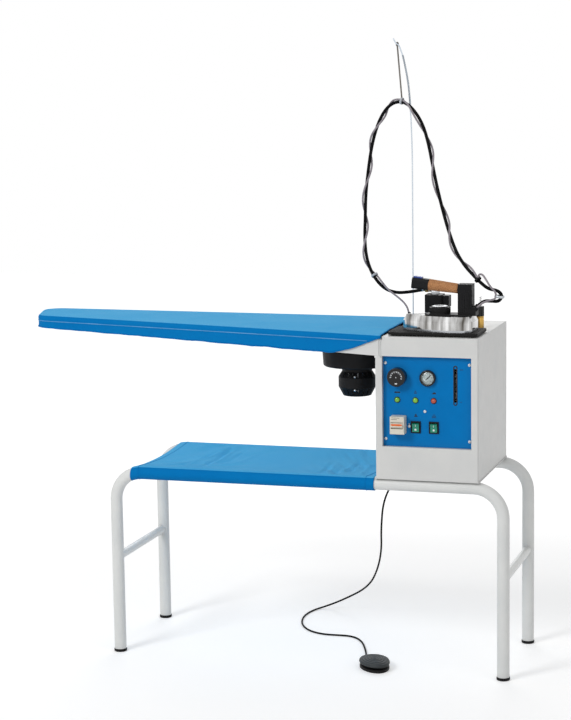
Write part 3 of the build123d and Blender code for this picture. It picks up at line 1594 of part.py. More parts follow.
dial_low = handle_base_high + dial_gap
with BuildPart() as iron_dial:
    with Locations((iron_nose_x + dial_x, iron_y, dial_low + dial_height / 2)):
        Cylinder(dial_r, dial_height)
    fillet(iron_dial.edges().group_by(Axis.Z)[-1], dial_height / 8)
    with Locations((iron_nose_x + dial_x, iron_y, dial_low + dial_height + dial_cap / 2)):
        Cylinder(dial_cap_r, dial_cap)
    with Locations((iron_nose_x + dial_x, iron_y, dial_low)):
        Cylinder(dial_stem_r + running_fit, dial_height + 2, mode=Mode.SUBTRACT)
iron_dial.part.label = "iron_dial"
export_step(iron_dial.part, "parts/iron_dial.step")


# Cords. Each corner of a route is as round as its two runs allow.
def route(name, points):
    radii = []
    for before, corner, after in zip(points, points[1:], points[2:]):
        run_in = Vector(*corner) - Vector(*before)
        run_out = Vector(*after) - Vector(*corner)
        half_turn = radians(run_in.get_angle(run_out)) / 2
        radii.append(0.45 * min(run_in.length, run_out.length) / tan(half_turn))
    print(name, "radii", [round(r) for r in radii])
    with BuildLine() as line:
        FilletPolyline(*points, radius=radii)
    return line.wires()[0]


def cord(name, wire, diameter):
    with BuildPart() as tube:
        with BuildSketch(Plane(wire ^ 0)):
            Circle(diameter / 2)
        sweep(path=wire)
    ideal = pi * diameter**2 / 4 * wire.length
    print(name, "length", round(wire.length), "volume ratio", round(tube.part.volume / ideal, 4))
    return tube.part


# Steam hose: from the valve's outlet up over the antenna's hook and down to the iron
hose_points = [
    (hose_start_x, riser_y, outlet_z),
    (hose_start_x - 10, riser_y, outlet_z),
    (370, 97, 949),
    (337, 90, 947.6),
    (306, 84, 960),
    (275, 93, 993),
    (255, 106, 1036),
    (247, 119, 1088),
    (246, 132, 1142),
    (244, 146, 1202),
    (248, 158, 1264),
    (255, 167, 1324),
    (267, 175, 1377),
    (287, 181, 1421),
    (313, 183, 1444),
    (345, 180, 1444),
    (376, 164, 1419),
    (402, 146, 1382),
    (421, 124, 1334),
    (436, 101, 1284),
    (454, 73, 1229),
    (475, 43, 1173),
    (499, 9, 1118),
    (527, -31, 1069),
    (556, -67, 1039),
    (583, -94, 1019),
    (605, -104.5, 1000),
    (625, -105, 978),
    (650, -105, 973),
    (648, -105, 957),
    (628, -105, 962),
    tuple(hose_end + nozzle_dir * nozzle_approach),
    tuple(hose_end),
]
hose_wire = route("steam hose", hose_points)
with BuildPart() as steam_hose:
    add(cord("steam hose", hose_wire, hose_d))
steam_hose.part.label = "steam_hose"
export_step(steam_hose.part, "parts/steam_hose.step")


# The cable winds round the hose: inside the loop at the first mark, half a turn on at each next one
def twist_angle(share):
    turn = max(i for i, mark in enumerate(half_turn_shares[:-1]) if mark <= share)
    first, last = half_turn_shares[turn:turn + 2]
    return pi * (turn + 1 + (share - first) / (last - first))


def beside_hose(share, distance):
    # a point on the cable's side of the hose
    tangent = hose_wire % share
    outward = tangent.cross(Vector(0, 1, 0)).normalized()
    sideways = tangent.cross(outward)
    angle = twist_angle(share)
    return hose_wire @ share + outward * (distance * cos(angle)) + sideways * (distance * sin(angle))


twist_shares = []
for first, last in zip(half_turn_shares, half_turn_shares[1:]):
    twist_shares += [first + (last - first) * step / twist_steps for step in range(twist_steps)]
twist_shares += [half_turn_shares[-1], (half_turn_shares[-1] + right_tie_share) / 2, right_tie_share]
gland_end = lid_top + gland_hex + gland_dome
cable_points = [
    (lid_gland_x, lid_gland_y, gland_end),
    (lid_gland_x - 1, lid_gland_y + 1, gland_end + 18),
    (373, 53, 924),
    (352, 60, 940),
    (324, 68, 957),
    *[tuple(beside_hose(share, twist_radius)) for share in twist_shares],
    (603, -113, 1022),
    (614, -118, 1022),
    (624, -119, 1006),
    (634, -118, 990),
    (646, -117, 979),
    (648, -118, 962),
    (630, -118, 957),
    tuple(cable_end + nozzle_dir * nozzle_approach),
    tuple(cable_end),
]
with BuildPart() as iron_cable:
    add(cord("iron cable", route("iron cable", cable_points), cable_d))
iron_cable.part.label = "iron_cable"
export_step(iron_cable.part, "parts/iron_cable.step")

# Antenna: a spring rod with a kinked tip, standing in a socket on the rear cover
antenna_x = cabinet_left + antenna_inset
antenna_points = [
    (antenna_x, antenna_y, antenna_low),
    (antenna_x, antenna_y, 1330),
    (antenna_x - 6, antenna_y, 1462),
    (antenna_x - 14.5, antenna_y, 1524),
    (antenna_x - 24.5, antenna_y, 1566),
    (antenna_x - 34.5, antenna_y, 1592),
    (antenna_x - 43, antenna_y, 1597),
    (antenna_x - 50, antenna_y, 1610),
]
with BuildPart() as antenna_rod:
    add(cord("antenna", route("antenna", antenna_points), antenna_d))
antenna_rod.part.label = "antenna_rod"
export_step(antenna_rod.part, "parts/antenna_rod.step")

socket_low = antenna_low - socket_plate
socket_high = antenna_low + socket_height
plate_low = antenna_low + (socket_height - socket_plate_height) / 2
with BuildPart() as antenna_socket:
    slab(cabinet_left + sheet, cabinet_left + sheet + socket_plate_width, cabinet_rear,
         cabinet_rear + socket_plate, plate_low, plate_low + socket_plate_height)
    slab(antenna_x - socket_d / 3, antenna_x + socket_d / 3, cabinet_rear, antenna_y,
         plate_low, plate_low + socket_plate_height)
    with Locations((antenna_x, antenna_y, (socket_low + socket_high) / 2)):
        Cylinder(socket_d / 2, socket_high - socket_low)
    with Locations((antenna_x, antenna_y, antenna_low + socket_height)):
        Cylinder(antenna_d / 2 + running_fit, 2 * socket_height, mode=Mode.SUBTRACT)
antenna_socket.part.label = "antenna_socket"
export_step(antenna_socket.part, "parts/antenna_socket.step")

# Ties round hose and cable, and the strap that hangs the loop's top from the antenna
tie_offset = (twist_radius + cable_d / 2 - hose_d / 2) / 2
tie_r = (hose_d / 2 + twist_radius + cable_d / 2) / 2 + tie_gap


def tie(share):
    with BuildPart() as ring:
        with BuildSketch(Plane(origin=beside_hose(share, tie_offset), z_dir=hose_wire % share)):
            Circle(tie_r + tie_wall)
            Circle(tie_r, mode=Mode.SUBTRACT)
        extrude(amount=tie_width / 2, both=True)
    return ring.part


hook = Vector(antenna_x - 39, antenna_y, antenna_hook)
strap_foot = beside_hose(top_tie_share, tie_offset) + Vector(0, 0, tie_r + tie_wall / 2)
strap_line = hook - strap_foot
strap_head = hook - strap_line.normalized() * (hook_loop_r + 0.75 * strap_thickness)
with BuildPart() as hose_ties:
    add(tie(left_tie_share))
    add(tie(top_tie_share))
    with BuildSketch(Plane(origin=strap_foot, x_dir=(1, 0, 0), z_dir=strap_line)):
        Rectangle(strap_width, strap_thickness)
    extrude(amount=(strap_head - strap_foot).length)
    with BuildSketch(Plane(origin=hook, z_dir=(-8.5, 0, 5))):
        Circle(hook_loop_r + strap_thickness)
        Circle(hook_loop_r, mode=Mode.SUBTRACT)
    extrude(amount=strap_width / 2, both=True)
hose_ties.part.label = "hose_ties"
export_step(hose_ties.part, "parts/hose_ties.step")

# Foot pedal: base with a switch block and hinge lugs, and a treadle on the hinge pin
pedal = Plane(
    origin=(pedal_x, pedal_y, 0),
    x_dir=(cos(radians(pedal_turn)), sin(radians(pedal_turn)), 0),
    z_dir=(0, 0, 1),
)
pin_x = pedal_pin_inset - pedal_length / 2
lug_y = pedal_barrel / 2 + 0.5 + pedal_lug / 2
treadle_low = pedal_base_height + pedal_gap
cavity_high = pedal_height - pedal_skin
with BuildPart() as pedal_base:
    with BuildSketch(pedal):
        RectangleRounded(pedal_length, pedal_width, pedal_corner)
    extrude(amount=pedal_base_height)
    with BuildSketch(pedal.offset(pedal_base_height)):
        RectangleRounded(switch_block_length, switch_block_width, 2)
    extrude(amount=switch_block_height)
    with BuildSketch(pedal.offset(pedal_base_height)):
        with Locations((pin_x, lug_y), (pin_x, -lug_y)):
            Rectangle(4 * pedal_pin_r, pedal_lug)
    extrude(amount=pedal_pin_height + 2 * pedal_pin_r - pedal_base_height)
    pin_start = pedal.from_local_coords(Vector(pin_x, lug_y, pedal_pin_height))
    with BuildSketch(Plane(origin=pin_start, z_dir=-pedal.y_dir)):
        Circle(pedal_pin_r)
    extrude(amount=2 * lug_y)
    relief_end = pedal.from_local_coords(
        Vector(-pedal_length / 2 - pedal_relief_length, 0, pedal_relief_r + 0.2)
    )
    with BuildSketch(Plane(origin=relief_end, z_dir=pedal.x_dir)):
        Circle(pedal_relief_r)
    extrude(amount=2 * pedal_relief_length)
pedal_base.part.label = "pedal_base"
export_step(pedal_base.part, "parts/pedal_base.step")

with BuildPart() as pedal_top:
    with BuildSketch(pedal.offset(treadle_low)):
        RectangleRounded(pedal_length, pedal_width, pedal_corner)
    extrude(amount=pedal_height - treadle_low)
    fillet(pedal_top.faces().sort_by(Axis.Z)[-1].edges(), pedal_edge)
    with BuildSketch(pedal.offset(treadle_low)):
        RectangleRounded(2 * switch_block_length, 3 * switch_block_width, 4)
    extrude(amount=cavity_high - treadle_low, mode=Mode.SUBTRACT)
    with BuildSketch(pedal.offset(treadle_low)):
        with Locations((pin_x - pedal_pin_inset, lug_y), (pin_x - pedal_pin_inset, -lug_y)):
            Rectangle(4 * pedal_pin_r + 2 + 2 * pedal_pin_inset, pedal_lug + 1)
    extrude(amount=pedal_pin_height + 2 * pedal_pin_r + 1 - treadle_low, mode=Mode.SUBTRACT)
    with BuildSketch(Plane(origin=pin_start, z_dir=-pedal.y_dir)):
        Circle(pedal_pin_r + running_fit)
    extrude(amount=2 * lug_y, mode=Mode.SUBTRACT)
pedal_top.part.label = "pedal_top"
export_step(pedal_top.part, "parts/pedal_top.step")

# Pedal cord: down from the cabinet in a free sweep, then along the floor to the pedal
floor_z = pedal_cord_d / 2 + 0.2
pedal_cord_points = [
    (pedal_gland_x, pedal_gland_y, rail_top - gland_hex - gland_dome),
    (365, -66.5, 468),
    (348, -60, 441),
    (331, -36, 400),
    (317, 4, 350),
    (304, 48, 306),
    (292, 97, 264),
    (274, 151, 213),
    (249, 208, 162),
    (220, 260, 116),
    (181, 304, 78),
    (130, 342, 45),
    (86, 364, 20),
    (50, 365, 5),
    (28, 332, floor_z),
    (19, 275, floor_z),
    (28, 213, floor_z),
    (50, 160, floor_z),
    (84, 120, floor_z),
    (125, 102, floor_z),
    (160, 103, floor_z),
    (194, 105, floor_z),
    (222, 91, floor_z),
    (246, 57, floor_z),
    (265, 12, floor_z),
    (282, -36, floor_z),
    tuple(relief_end - pedal.x_dir * 5 * pedal_relief_r),
    tuple(relief_end),
]
with BuildPart() as pedal_cord:
    add(cord("pedal cord", route("pedal cord", pedal_cord_points), pedal_cord_d))
pedal_cord.part.label = "pedal_cord"
export_step(pedal_cord.part, "parts/pedal_cord.step")
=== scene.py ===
import bmesh
import bpy
from math import atan2, cos, exp, pi, radians, sin, sqrt, tau
from mathutils import Matrix, Vector, noise
from mathutils.bvhtree import BVHTree


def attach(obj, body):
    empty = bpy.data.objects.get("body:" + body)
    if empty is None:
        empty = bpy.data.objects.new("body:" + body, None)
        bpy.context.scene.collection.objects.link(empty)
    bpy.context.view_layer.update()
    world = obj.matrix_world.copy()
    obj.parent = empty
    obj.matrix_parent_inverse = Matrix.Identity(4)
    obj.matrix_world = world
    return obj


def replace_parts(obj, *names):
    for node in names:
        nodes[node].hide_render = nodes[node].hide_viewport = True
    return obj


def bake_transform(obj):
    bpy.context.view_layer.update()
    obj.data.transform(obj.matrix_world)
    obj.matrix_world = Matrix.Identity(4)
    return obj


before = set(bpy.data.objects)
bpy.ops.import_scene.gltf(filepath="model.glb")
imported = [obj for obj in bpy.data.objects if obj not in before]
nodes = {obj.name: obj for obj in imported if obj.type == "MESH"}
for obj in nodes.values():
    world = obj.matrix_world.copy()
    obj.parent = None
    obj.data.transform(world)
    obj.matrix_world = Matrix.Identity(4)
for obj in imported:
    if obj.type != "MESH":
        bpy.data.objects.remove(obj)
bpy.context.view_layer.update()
print("frame loaded", len(nodes))

# ---- camera, lamps and floor
cameraPlace = {"spot": (1.6237, -5.0, 1.54), "yaw": 17.37, "pitch": 8.32, "roll": -0.88, "lens": 100.21,
               "sensor": 36, "farthest": 50}
lamps = {
    "keyLamp": {"spot": (-1.9, -3.6, 3.4), "target": (0.1, 0, 0.7), "size": 1.6, "power": 92},
    "fillLamp": {"spot": (3.4, -2.6, 2.2), "target": (0, 0, 0.6), "size": 3.0, "power": 18},
    "backLamp": {"spot": (-0.6, 3.0, 2.8), "target": (0.1, 0, 0.8), "size": 2.4, "power": 34},
}
# glow: the floor's own light near the table and far from it
studio = {"world": 0.42, "floorEdge": 9, "grey": 0.86, "rough": 0.9, "specular": 0.1,
          "glow": (0.34, 0.68), "distance": (1.0, 4.5)}


def linked(name, data):
    thing = bpy.data.objects.new(name, data)
    bpy.context.scene.collection.objects.link(thing)
    return thing


def addCamera(place):
    yaw, pitch, roll = (radians(place[key]) for key in ("yaw", "pitch", "roll"))
    forward = Vector((-sin(yaw) * cos(pitch), cos(yaw) * cos(pitch), -sin(pitch)))
    level = Vector((cos(yaw), sin(yaw), 0))
    up = level.cross(forward)
    right = level * cos(roll) + up * sin(roll)
    up = up * cos(roll) - level * sin(roll)
    camera = linked("camera", bpy.data.cameras.new("camera"))
    turn = Matrix((right, up, -forward)).transposed().to_4x4()
    camera.matrix_world = Matrix.Translation(place["spot"]) @ turn
    camera.data.lens = place["lens"]
    camera.data.sensor_width = place["sensor"]
    camera.data.clip_end = place["farthest"]
    bpy.context.scene.camera = camera


def addLamp(name, place):
    light = bpy.data.lights.new(name, "AREA")
    light.shape = "DISK"
    light.size = place["size"]
    light.energy = place["power"]
    lamp = linked(name, light)
    lamp.location = place["spot"]
    aim = Vector(place["target"]) - Vector(place["spot"])
    lamp.rotation_euler = aim.to_track_quat("-Z", "Y").to_euler()


addCamera(cameraPlace)
bpy.context.scene.view_settings.view_transform = "Standard"
for lampName, lampPlace in lamps.items():
    addLamp(lampName, lampPlace)


def plug(tree, value, socket):
    # a constant, or the output of another node
    if isinstance(value, bpy.types.NodeSocket):
        tree.links.new(value, socket)
    else:
        socket.default_value = value


def addNode(tree, kind, values=(), **settings):
    node = tree.nodes.new("ShaderNode" + kind)
    for key, value in settings.items():
        setattr(node, key, value)
    for key, value in dict(values).items():
        plug(tree, value, node.inputs[key])
    return node


def compute(tree, operation, first, second=0.5, **settings):
    return addNode(tree, "Math", {0: first, 1: second}, operation=operation, **settings).outputs[0]


def remap(tree, value, before, after=(0.0, 1.0)):
    # from the range before to the range after
    values = {"Value": value, "From Min": before[0], "From Max": before[1], "To Min": after[0], "To Max": after[1]}
    return addNode(tree, "MapRange", values).outputs["Result"]


def seenOnly(tree, plain, bright):
    # the first value for light on the object, the second for what the camera, gloss and glass see
    path = addNode(tree, "LightPath").outputs
    seen = compute(tree, "MAXIMUM", path["Is Camera Ray"], path["Is Transmission Ray"])
    seen = compute(tree, "MAXIMUM", seen, path["Is Glossy Ray"])
    return remap(tree, seen, (0.0, 1.0), (plain, bright))


def meshFrom(name, points, faces):
    mesh = bpy.data.meshes.new(name)
    mesh.from_pydata([tuple(p) for p in points], [], faces)
    mesh.update()
    return mesh


def newPaint(name):
    paint = bpy.data.materials.new(name)
    paint.use_nodes = True
    return paint, paint.node_tree, paint.node_tree.nodes["Principled BSDF"].inputs


def addWorld():
    world = bpy.data.worlds.new("studio")
    bpy.context.scene.world = world
    world.use_nodes = True
    tree = world.node_tree
    back = tree.nodes["Background"].inputs
    plug(tree, (1, 1, 1, 1), back["Color"])
    plug(tree, seenOnly(tree, studio["world"], 1.0), back["Strength"])


def addFloor():
    edge, grey = studio["floorEdge"], studio["grey"]
    corners = [(-edge, -edge, 0), (edge, -edge, 0), (edge, edge, 0), (-edge, edge, 0)]
    mesh = meshFrom("floor", corners, [(0, 1, 2, 3)])
    paint, tree, shader = newPaint("floorPaint")
    away = addNode(tree, "VectorMath", {0: addNode(tree, "TexCoord").outputs["Object"]}, operation="LENGTH")
    paler = remap(tree, away.outputs["Value"], studio["distance"], studio["glow"])
    glow = compute(tree, "MULTIPLY", seenOnly(tree, 0.0, 1.0), paler)
    for key, value in {"Base Color": (grey, grey, grey, 1), "Roughness": studio["rough"],
                       "Specular IOR Level": studio["specular"], "Emission Color": (1, 1, 1, 1),
                       "Emission Strength": glow}.items():
        plug(tree, value, shader[key])
    mesh.materials.append(paint)
    linked("floor", mesh)


addWorld()
addFloor()
print("camera, lamps and floor done")


# ---- shader effects that several materials share
def mottle(group, given):
    cloud = addNode(group, "TexNoise", {"Vector": given["Vector"], "Scale": given["Scale"], "Detail": 4.0})
    return {"Value": remap(group, cloud.outputs["Fac"], (0.3, 0.7), (given["Low"], given["High"]))}


def edgeWear(group, given):
    soft = addNode(group, "Bevel", {"Radius": given["Radius"]}, samples=4)
    sharp = addNode(group, "NewGeometry")
    normals = {0: soft.outputs["Normal"], 1: sharp.outputs["Normal"]}
    turn = addNode(group, "VectorMath", normals, operation="DOT_PRODUCT")
    edge = remap(group, turn.outputs["Value"], (0.97, 0.75))
    patchy = addNode(group, "TexNoise", {"Scale": 60.0, "Detail": 3.0})
    mask = compute(group, "MULTIPLY", edge, patchy.outputs["Fac"])
    return {"Mask": compute(group, "MULTIPLY", mask, given["Amount"], use_clamp=True)}


# tints corners and hollows found by ambient occlusion: paler dust on the black parts, darker painted shade on the light
# paint, the chrome, the galvanised metal and the tread, and a darker tone in the brass's hollows
def dust(group, given):
    corner = addNode(group, "AmbientOcclusion", {"Distance": given["Distance"]}, samples=4)
    return {"Mask": remap(group, corner.outputs["AO"], (1.0, 0.2), (0.0, given["Amount"]))}


def weave(group, given):
    # threads over and under each other, Pitch is the distance between threads
    apart = addNode(group, "SeparateXYZ", {0: given["Vector"]})
    waves = []
    for axis in ("X", "Y"):
        angle = compute(group, "MULTIPLY", compute(group, "DIVIDE", apart.outputs[axis], given["Pitch"]), pi)
        waves.append(compute(group, "SINE", angle))
    return {"Height": remap(group, compute(group, "MULTIPLY", *waves), (-1.0, 1.0))}


def streaks(group, given):
    # fine lines along one direction, as a brush or a drawing die leaves
    longer = addNode(group, "VectorMath", {0: given["Vector"], 1: given["Stretch"]}, operation="MULTIPLY")
    lines = addNode(group, "TexNoise", {"Vector": longer.outputs[0], "Scale": 1.0, "Detail": 3.0})
    return {"Value": lines.outputs["Fac"]}


def grains(group, given):
    # ground cork: crumbs of several browns with dark gaps
    cells = {"Vector": given["Vector"], "Scale": given["Scale"]}
    tone = addNode(group, "SeparateColor", {0: addNode(group, "TexVoronoi", cells).outputs["Color"]})
    gap = addNode(group, "TexVoronoi", cells, feature="DISTANCE_TO_EDGE")
    return {"Value": tone.outputs[0], "Gap": remap(group, gap.outputs["Distance"], (0.0, 0.12), (1.0, 0.0))}


def buildEffect(build, **inputs):
    # inputs: the default of each socket, a number or a vector (None where it is always linked)
    group = bpy.data.node_groups.new(build.__name__, "ShaderNodeTree")
    for title, value in inputs.items():
        kind = "NodeSocketFloat" if isinstance(value, float) else "NodeSocketVector"
        socket = group.interface.new_socket(name=title, in_out="INPUT", socket_type=kind)
        if value is not None:
            socket.default_value = value
    results = build(group, group.nodes.new("NodeGroupInput").outputs)
    for title in results:
        group.interface.new_socket(name=title, in_out="OUTPUT", socket_type="NodeSocketFloat")
    out = group.nodes.new("NodeGroupOutput").inputs
    for title, value in results.items():
        group.links.new(value, out[title])
    return group


effects = {
    "mottle": buildEffect(mottle, Vector=None, Scale=20.0, Low=0.0, High=1.0),
    "edgeWear": buildEffect(edgeWear, Radius=0.002, Amount=0.5),
    "dust": buildEffect(dust, Distance=0.02, Amount=0.3),
    "weave": buildEffect(weave, Vector=None, Pitch=0.001),
    "streaks": buildEffect(streaks, Vector=None, Stretch=(4, 400, 400)),
    "grains": buildEffect(grains, Vector=None, Scale=300.0),
}


def place(tree, effect, **values):
    return addNode(tree, "Group", values, node_tree=effects[effect]).outputs


def tint(colour):
    # a colour as seen on screen, two hexadecimal digits each for red, green and blue, as the shader's linear one
    values = [channel / 255 for channel in bytes.fromhex(colour)]
    return tuple(v / 12.92 if v <= 0.04045 else ((v + 0.055) / 1.055) ** 2.4 for v in values) + (1,)


def mixColours(tree, factor, first, second):
    return addNode(tree, "Mix", {"Factor": factor, 6: first, 7: second}, data_type="RGBA").outputs[2]


# what a look gives straight to the shader's own sockets
lookSockets = {"metal": "Metallic", "coat": "Coat Weight", "sheen": "Sheen Weight", "clear": "Transmission Weight",
               "ior": "IOR", "specular": "Specular IOR Level", "glow": "Emission Strength"}
# the plain grey of the corner tint: dust on black parts, painted shade on light ones
dustAndShadeReach, wearRadius, plainScale, plainDirtAndShade = 0.03, 0.0015, 14.0, "605c56"


def makeMaterial(name, style):
    # shade is the second colour of the mottling, rough its lowest and highest roughness
    paint, tree, shader = newPaint(name)
    spot = addNode(tree, "TexCoord").outputs["UV" if "unwrapped" in style else "Object"]
    scale = style.get("scale", plainScale)
    # the stretch is used only by the chrome, to draw its bands of painted reflection
    patches = addNode(tree, "VectorMath", {0: spot, 1: style.get("stretch", (1, 1, 1))}, operation="MULTIPLY")
    cloud = place(tree, "mottle", Vector=patches.outputs[0], Scale=scale)["Value"]
    colour = mixColours(tree, cloud, tint(style["colour"]), tint(style["shade"]))

    def over(mask, key):
        return mixColours(tree, mask, colour, tint(style.get(key, plainDirtAndShade)))

    height = None
    if "grains" in style:
        crumbs = place(tree, "grains", Vector=spot, Scale=style["grains"])
        colour = over(crumbs["Value"], "crumb")
        colour = over(crumbs["Gap"], "gap")
        height = crumbs["Value"]
    if "weave" in style:
        height = place(tree, "weave", Vector=spot, Pitch=style["weave"])["Height"]
        colour = mixColours(tree, height, tint(style["thread"]), colour)
    if "streaks" in style:
        height = place(tree, "streaks", Vector=spot, Stretch=style["streaks"])["Value"]
    if "fine" in style:
        height = place(tree, "mottle", Vector=spot, Scale=style["fine"])["Value"]
    if "dust" in style:
        colour = over(place(tree, "dust", Distance=dustAndShadeReach, Amount=style["dust"])["Mask"], "dirt")
    if "wear" in style:
        colour = over(place(tree, "edgeWear", Radius=wearRadius, Amount=style["wear"])["Mask"], "worn")
    plug(tree, colour, shader["Base Color"])
    low, high = style["rough"]
    plug(tree, place(tree, "mottle", Vector=spot, Scale=3 * scale, Low=low, High=high)["Value"], shader["Roughness"])
    if height is not None:
        values = {"Height": height, "Strength": style.get("bump", 0.3), "Distance": style.get("depth", 0.0003)}
        plug(tree, addNode(tree, "Bump", values).outputs["Normal"], shader["Normal"])
    for key, socket in lookSockets.items():
        if key in style:
            shader[socket].default_value = style[key]
    if "glow" in style:
        plug(tree, colour, shader["Emission Color"])
    return paint


def look(colour, shade, rough, **more):
    return {"colour": colour, "shade": shade, "rough": rough, **more}


looks = {
    "framePaint": look("e8e9e7", "e0e2e1", (0.28, 0.4), coat=0.25, dust=0.25, wear=0.25, worn="b0b2b4"),
    "cabinetPaint": look("dededc", "d8d9d8", (0.36, 0.48), fine=900.0, bump=0.05, dust=0.25, wear=0.2, worn="aaacae"),
    "panelPaint": look("007ac3", "0075bd", (0.34, 0.46), fine=1200.0, bump=0.05, dust=0.1, specular=0.08),
    "printWhite": look("ecf0f2", "e2e8ec", (0.4, 0.5)),
    "blackPlastic": look("0f0f11", "161618", (0.42, 0.56), fine=1500.0, bump=0.12, dust=0.06, specular=0.14,
                         wear=0.35, worn="404042"),
    "glossBlack": look("0e0e10", "141416", (0.16, 0.26), specular=0.3, wear=0.3, worn="3c3c3e"),
    "matRubber": look("0e0e0f", "161617", (0.6, 0.75), fine=700.0, bump=0.2, dust=0.1, specular=0.2),
    "treadRubber": look("3a3e40", "2c3032", (0.5, 0.66), fine=700.0, bump=0.2, dust=0.2, dirt="101011", specular=0.3),
    # the two blue cloth looks below are one cloth: the paler copy is painted light for the tops, the deeper copy
    # painted shade for the sides, wraps and hems
    "boardCloth": look("60c0f0", "4eb4ea", (0.78, 0.9), weave=0.0011, thread="3ca6e0", bump=0.25, sheen=0.02,
                       specular=0.08, unwrapped=True, scale=6.0),
    "skirtCloth": look("048acc", "0080c5", (0.74, 0.86), weave=0.0011, thread="006cb8", bump=0.25, sheen=0.02,
                       specular=0.06, unwrapped=True, scale=6.0),
    "felt": look("dedace", "cecabe", (0.88, 0.96), fine=500.0, bump=0.6, depth=0.0008),
    "galvanised": look("bcc0c4", "a8adb2", (0.36, 0.5), metal=1.0, scale=60.0, dust=0.3),
    "screwSteel": look("c6c8cb", "b4b7bb", (0.24, 0.36), metal=1.0, wear=0.4, worn="e4e6e8"),
    # the chrome's mottle, from near white to dark brown-grey and stretched into bands, is painted reflection of the
    # surroundings
    "chromeAndPaintedReflection": look("f0f0f0", "54504a", (0.05, 0.12), metal=1.0, stretch=(3.2, 0.9, 0.25), scale=22.0, dust=0.35),
    "stainless": look("c6c8ca", "b8bbbe", (0.26, 0.38), metal=1.0, streaks=(300.0, 300.0, 6.0), bump=0.08),
    "brass": look("cea85c", "b6904c", (0.24, 0.42), metal=1.0, scale=50.0, dust=0.4, dirt="544228", wear=0.4,
                  worn="ecd08c"),
    "copper": look("c67a54", "a86042", (0.3, 0.45), metal=1.0),
    "dialWhite": look("f0f0ec", "eaeae6", (0.3, 0.4)),
    "glass": look("e8f0f2", "e8f0f2", (0.02, 0.05), clear=1.0, ior=1.47),
    "lampGreen": look("92c828", "68ac1a", (0.12, 0.2), coat=0.5, glow=0.04),
    "lampRed": look("ce4c1a", "962c0e", (0.12, 0.2), coat=0.5, glow=0.04),
    "creamPlastic": look("e4e0d2", "dcd8ca", (0.38, 0.5), dust=0.2),
    "orangePlastic": look("ee701e", "e26418", (0.3, 0.4)),
    "tealPlastic": look("009276", "00866c", (0.24, 0.34), coat=0.2),
    "cork": look("d8a270", "cc9462", (0.78, 0.9), grains=420.0, crumb="ba8052", gap="845432", bump=0.5, depth=0.0005),
    "blueButton": look("1a469e", "143c92", (0.26, 0.36), coat=0.2),
    "soleMetal": look("b6b8bc", "a4a7ab", (0.22, 0.34), metal=1.0, streaks=(6.0, 500.0, 500.0), bump=0.1),
    "hoseRubber": look("080809", "101011", (0.56, 0.68), fine=600.0, bump=0.12, specular=0.06),
    "cableBraid": look("c4bec3", "a099a0", (0.7, 0.82), weave=0.0016, thread="706870", bump=0.6, depth=0.0005,
                       unwrapped=True, scale=40.0),
    # pale blue piping colour: a painted highlight along the cover's upper edge
    "pipingCloth": look("70b0de", "4e98d0", (0.7, 0.82), specular=0.15),
    "tieWhite": look("babec4", "a8acb2", (0.4, 0.5)),
    "strapGrey": look("76716a", "5e5a54", (0.6, 0.75), fine=800.0, bump=0.3),
    "rodSteel": look("ced5dc", "b8c2cc", (0.24, 0.36), metal=1.0, streaks=(600.0, 600.0, 8.0), bump=0.08),
    "springSteel": look("546c7e", "1c2e3e", (0.34, 0.46), specular=0.5, scale=70.0),
    "fanAluminium": look("c4c6c8", "b4b7ba", (0.3, 0.42), metal=1.0),
}
materials = {name: makeMaterial(name, values) for name, values in looks.items()}

nodeFinish = {
    "framePaint": "board_bracket front_hoop rear_hoop cross_braces cabinet_bearers",
    "cabinetPaint": "cabinet_body cabinet_base cabinet_lid rear_cover suction_tray",
    "panelPaint": "control_panel",
    "blackPlastic": "foot_caps fan_housing motor_cover switch_bezels valve_coil cable_glands iron_handle iron_dial "
                    "pedal_base pedal_top",
    "glossBlack": "thermostat_knob filler_knob gauge_needle gauge_case",
    "matRubber": "iron_mat",
    "galvanised": "fan_motor thermostat_body",
    "screwSteel": "mounting_bolts panel_screws drain_lever antenna_socket steam_valve",
    "chromeAndPaintedReflection": "iron_cover",
    "stainless": "boiler_tank",
    "brass": "level_pipes filler_neck filler_plug drain_valve",
    "copper": "heating_element",
    "glass": "level_glass",
    "lampGreen": "green_lamps",
    "lampRed": "red_lamp",
    "creamPlastic": "breaker_body breaker_lever",
    "tealPlastic": "boiler_rocker fan_rocker",
    "cork": "cork_grip",
    "blueButton": "steam_button",
    "soleMetal": "soleplate",
    "rodSteel": "antenna_rod",
    "fanAluminium": "fan_impeller board_plate",
}
for finish, names in nodeFinish.items():
    for name in names.split():
        slots = nodes[name].data.materials
        if not slots:
            slots.append(materials[finish])
        for index in range(len(slots)):
            slots[index] = materials[finish]
print("materials done", len(materials))


# ---- helpers for pieces
slotOf = {
    "black_plastic": "blackPlastic glossBlack treadRubber",
    "black_rubber": "hoseRubber matRubber",
    "frame_white": "framePaint printWhite dialWhite",
    "cover_blue": "boardCloth skirtCloth pipingCloth",
    "cable_grey": "cableBraid strapGrey",
    "pad_felt": "felt", "tie_white": "tieWhite", "screw_steel": "screwSteel", "teal_plastic": "tealPlastic",
    "orange_plastic": "orangePlastic", "glass_clear": "glass", "rod_steel": "springSteel",
    "stainless": "stainless", "brass": "brass", "galvanised": "galvanised",
}
slotOf = {finish: slot for slot, finishes in slotOf.items() for finish in finishes.split()}


def addObject(name, mesh, finish, body="table", smooth=True):
    piece = linked(name, mesh)
    kept = [polygon.material_index for polygon in mesh.polygons]
    mesh.materials.clear()
    mesh.materials.append(materials[finish])
    for polygon, index in zip(mesh.polygons, kept):
        polygon.material_index = index
        polygon.use_smooth = smooth or polygon.use_smooth
    if body:
        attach(piece, body)
    return piece


def meshOf(name, bm, outward=True):
    if outward:
        bmesh.ops.recalc_face_normals(bm, faces=bm.faces)
    mesh = bpy.data.meshes.new(name)
    bm.to_mesh(mesh)
    bm.free()
    return mesh


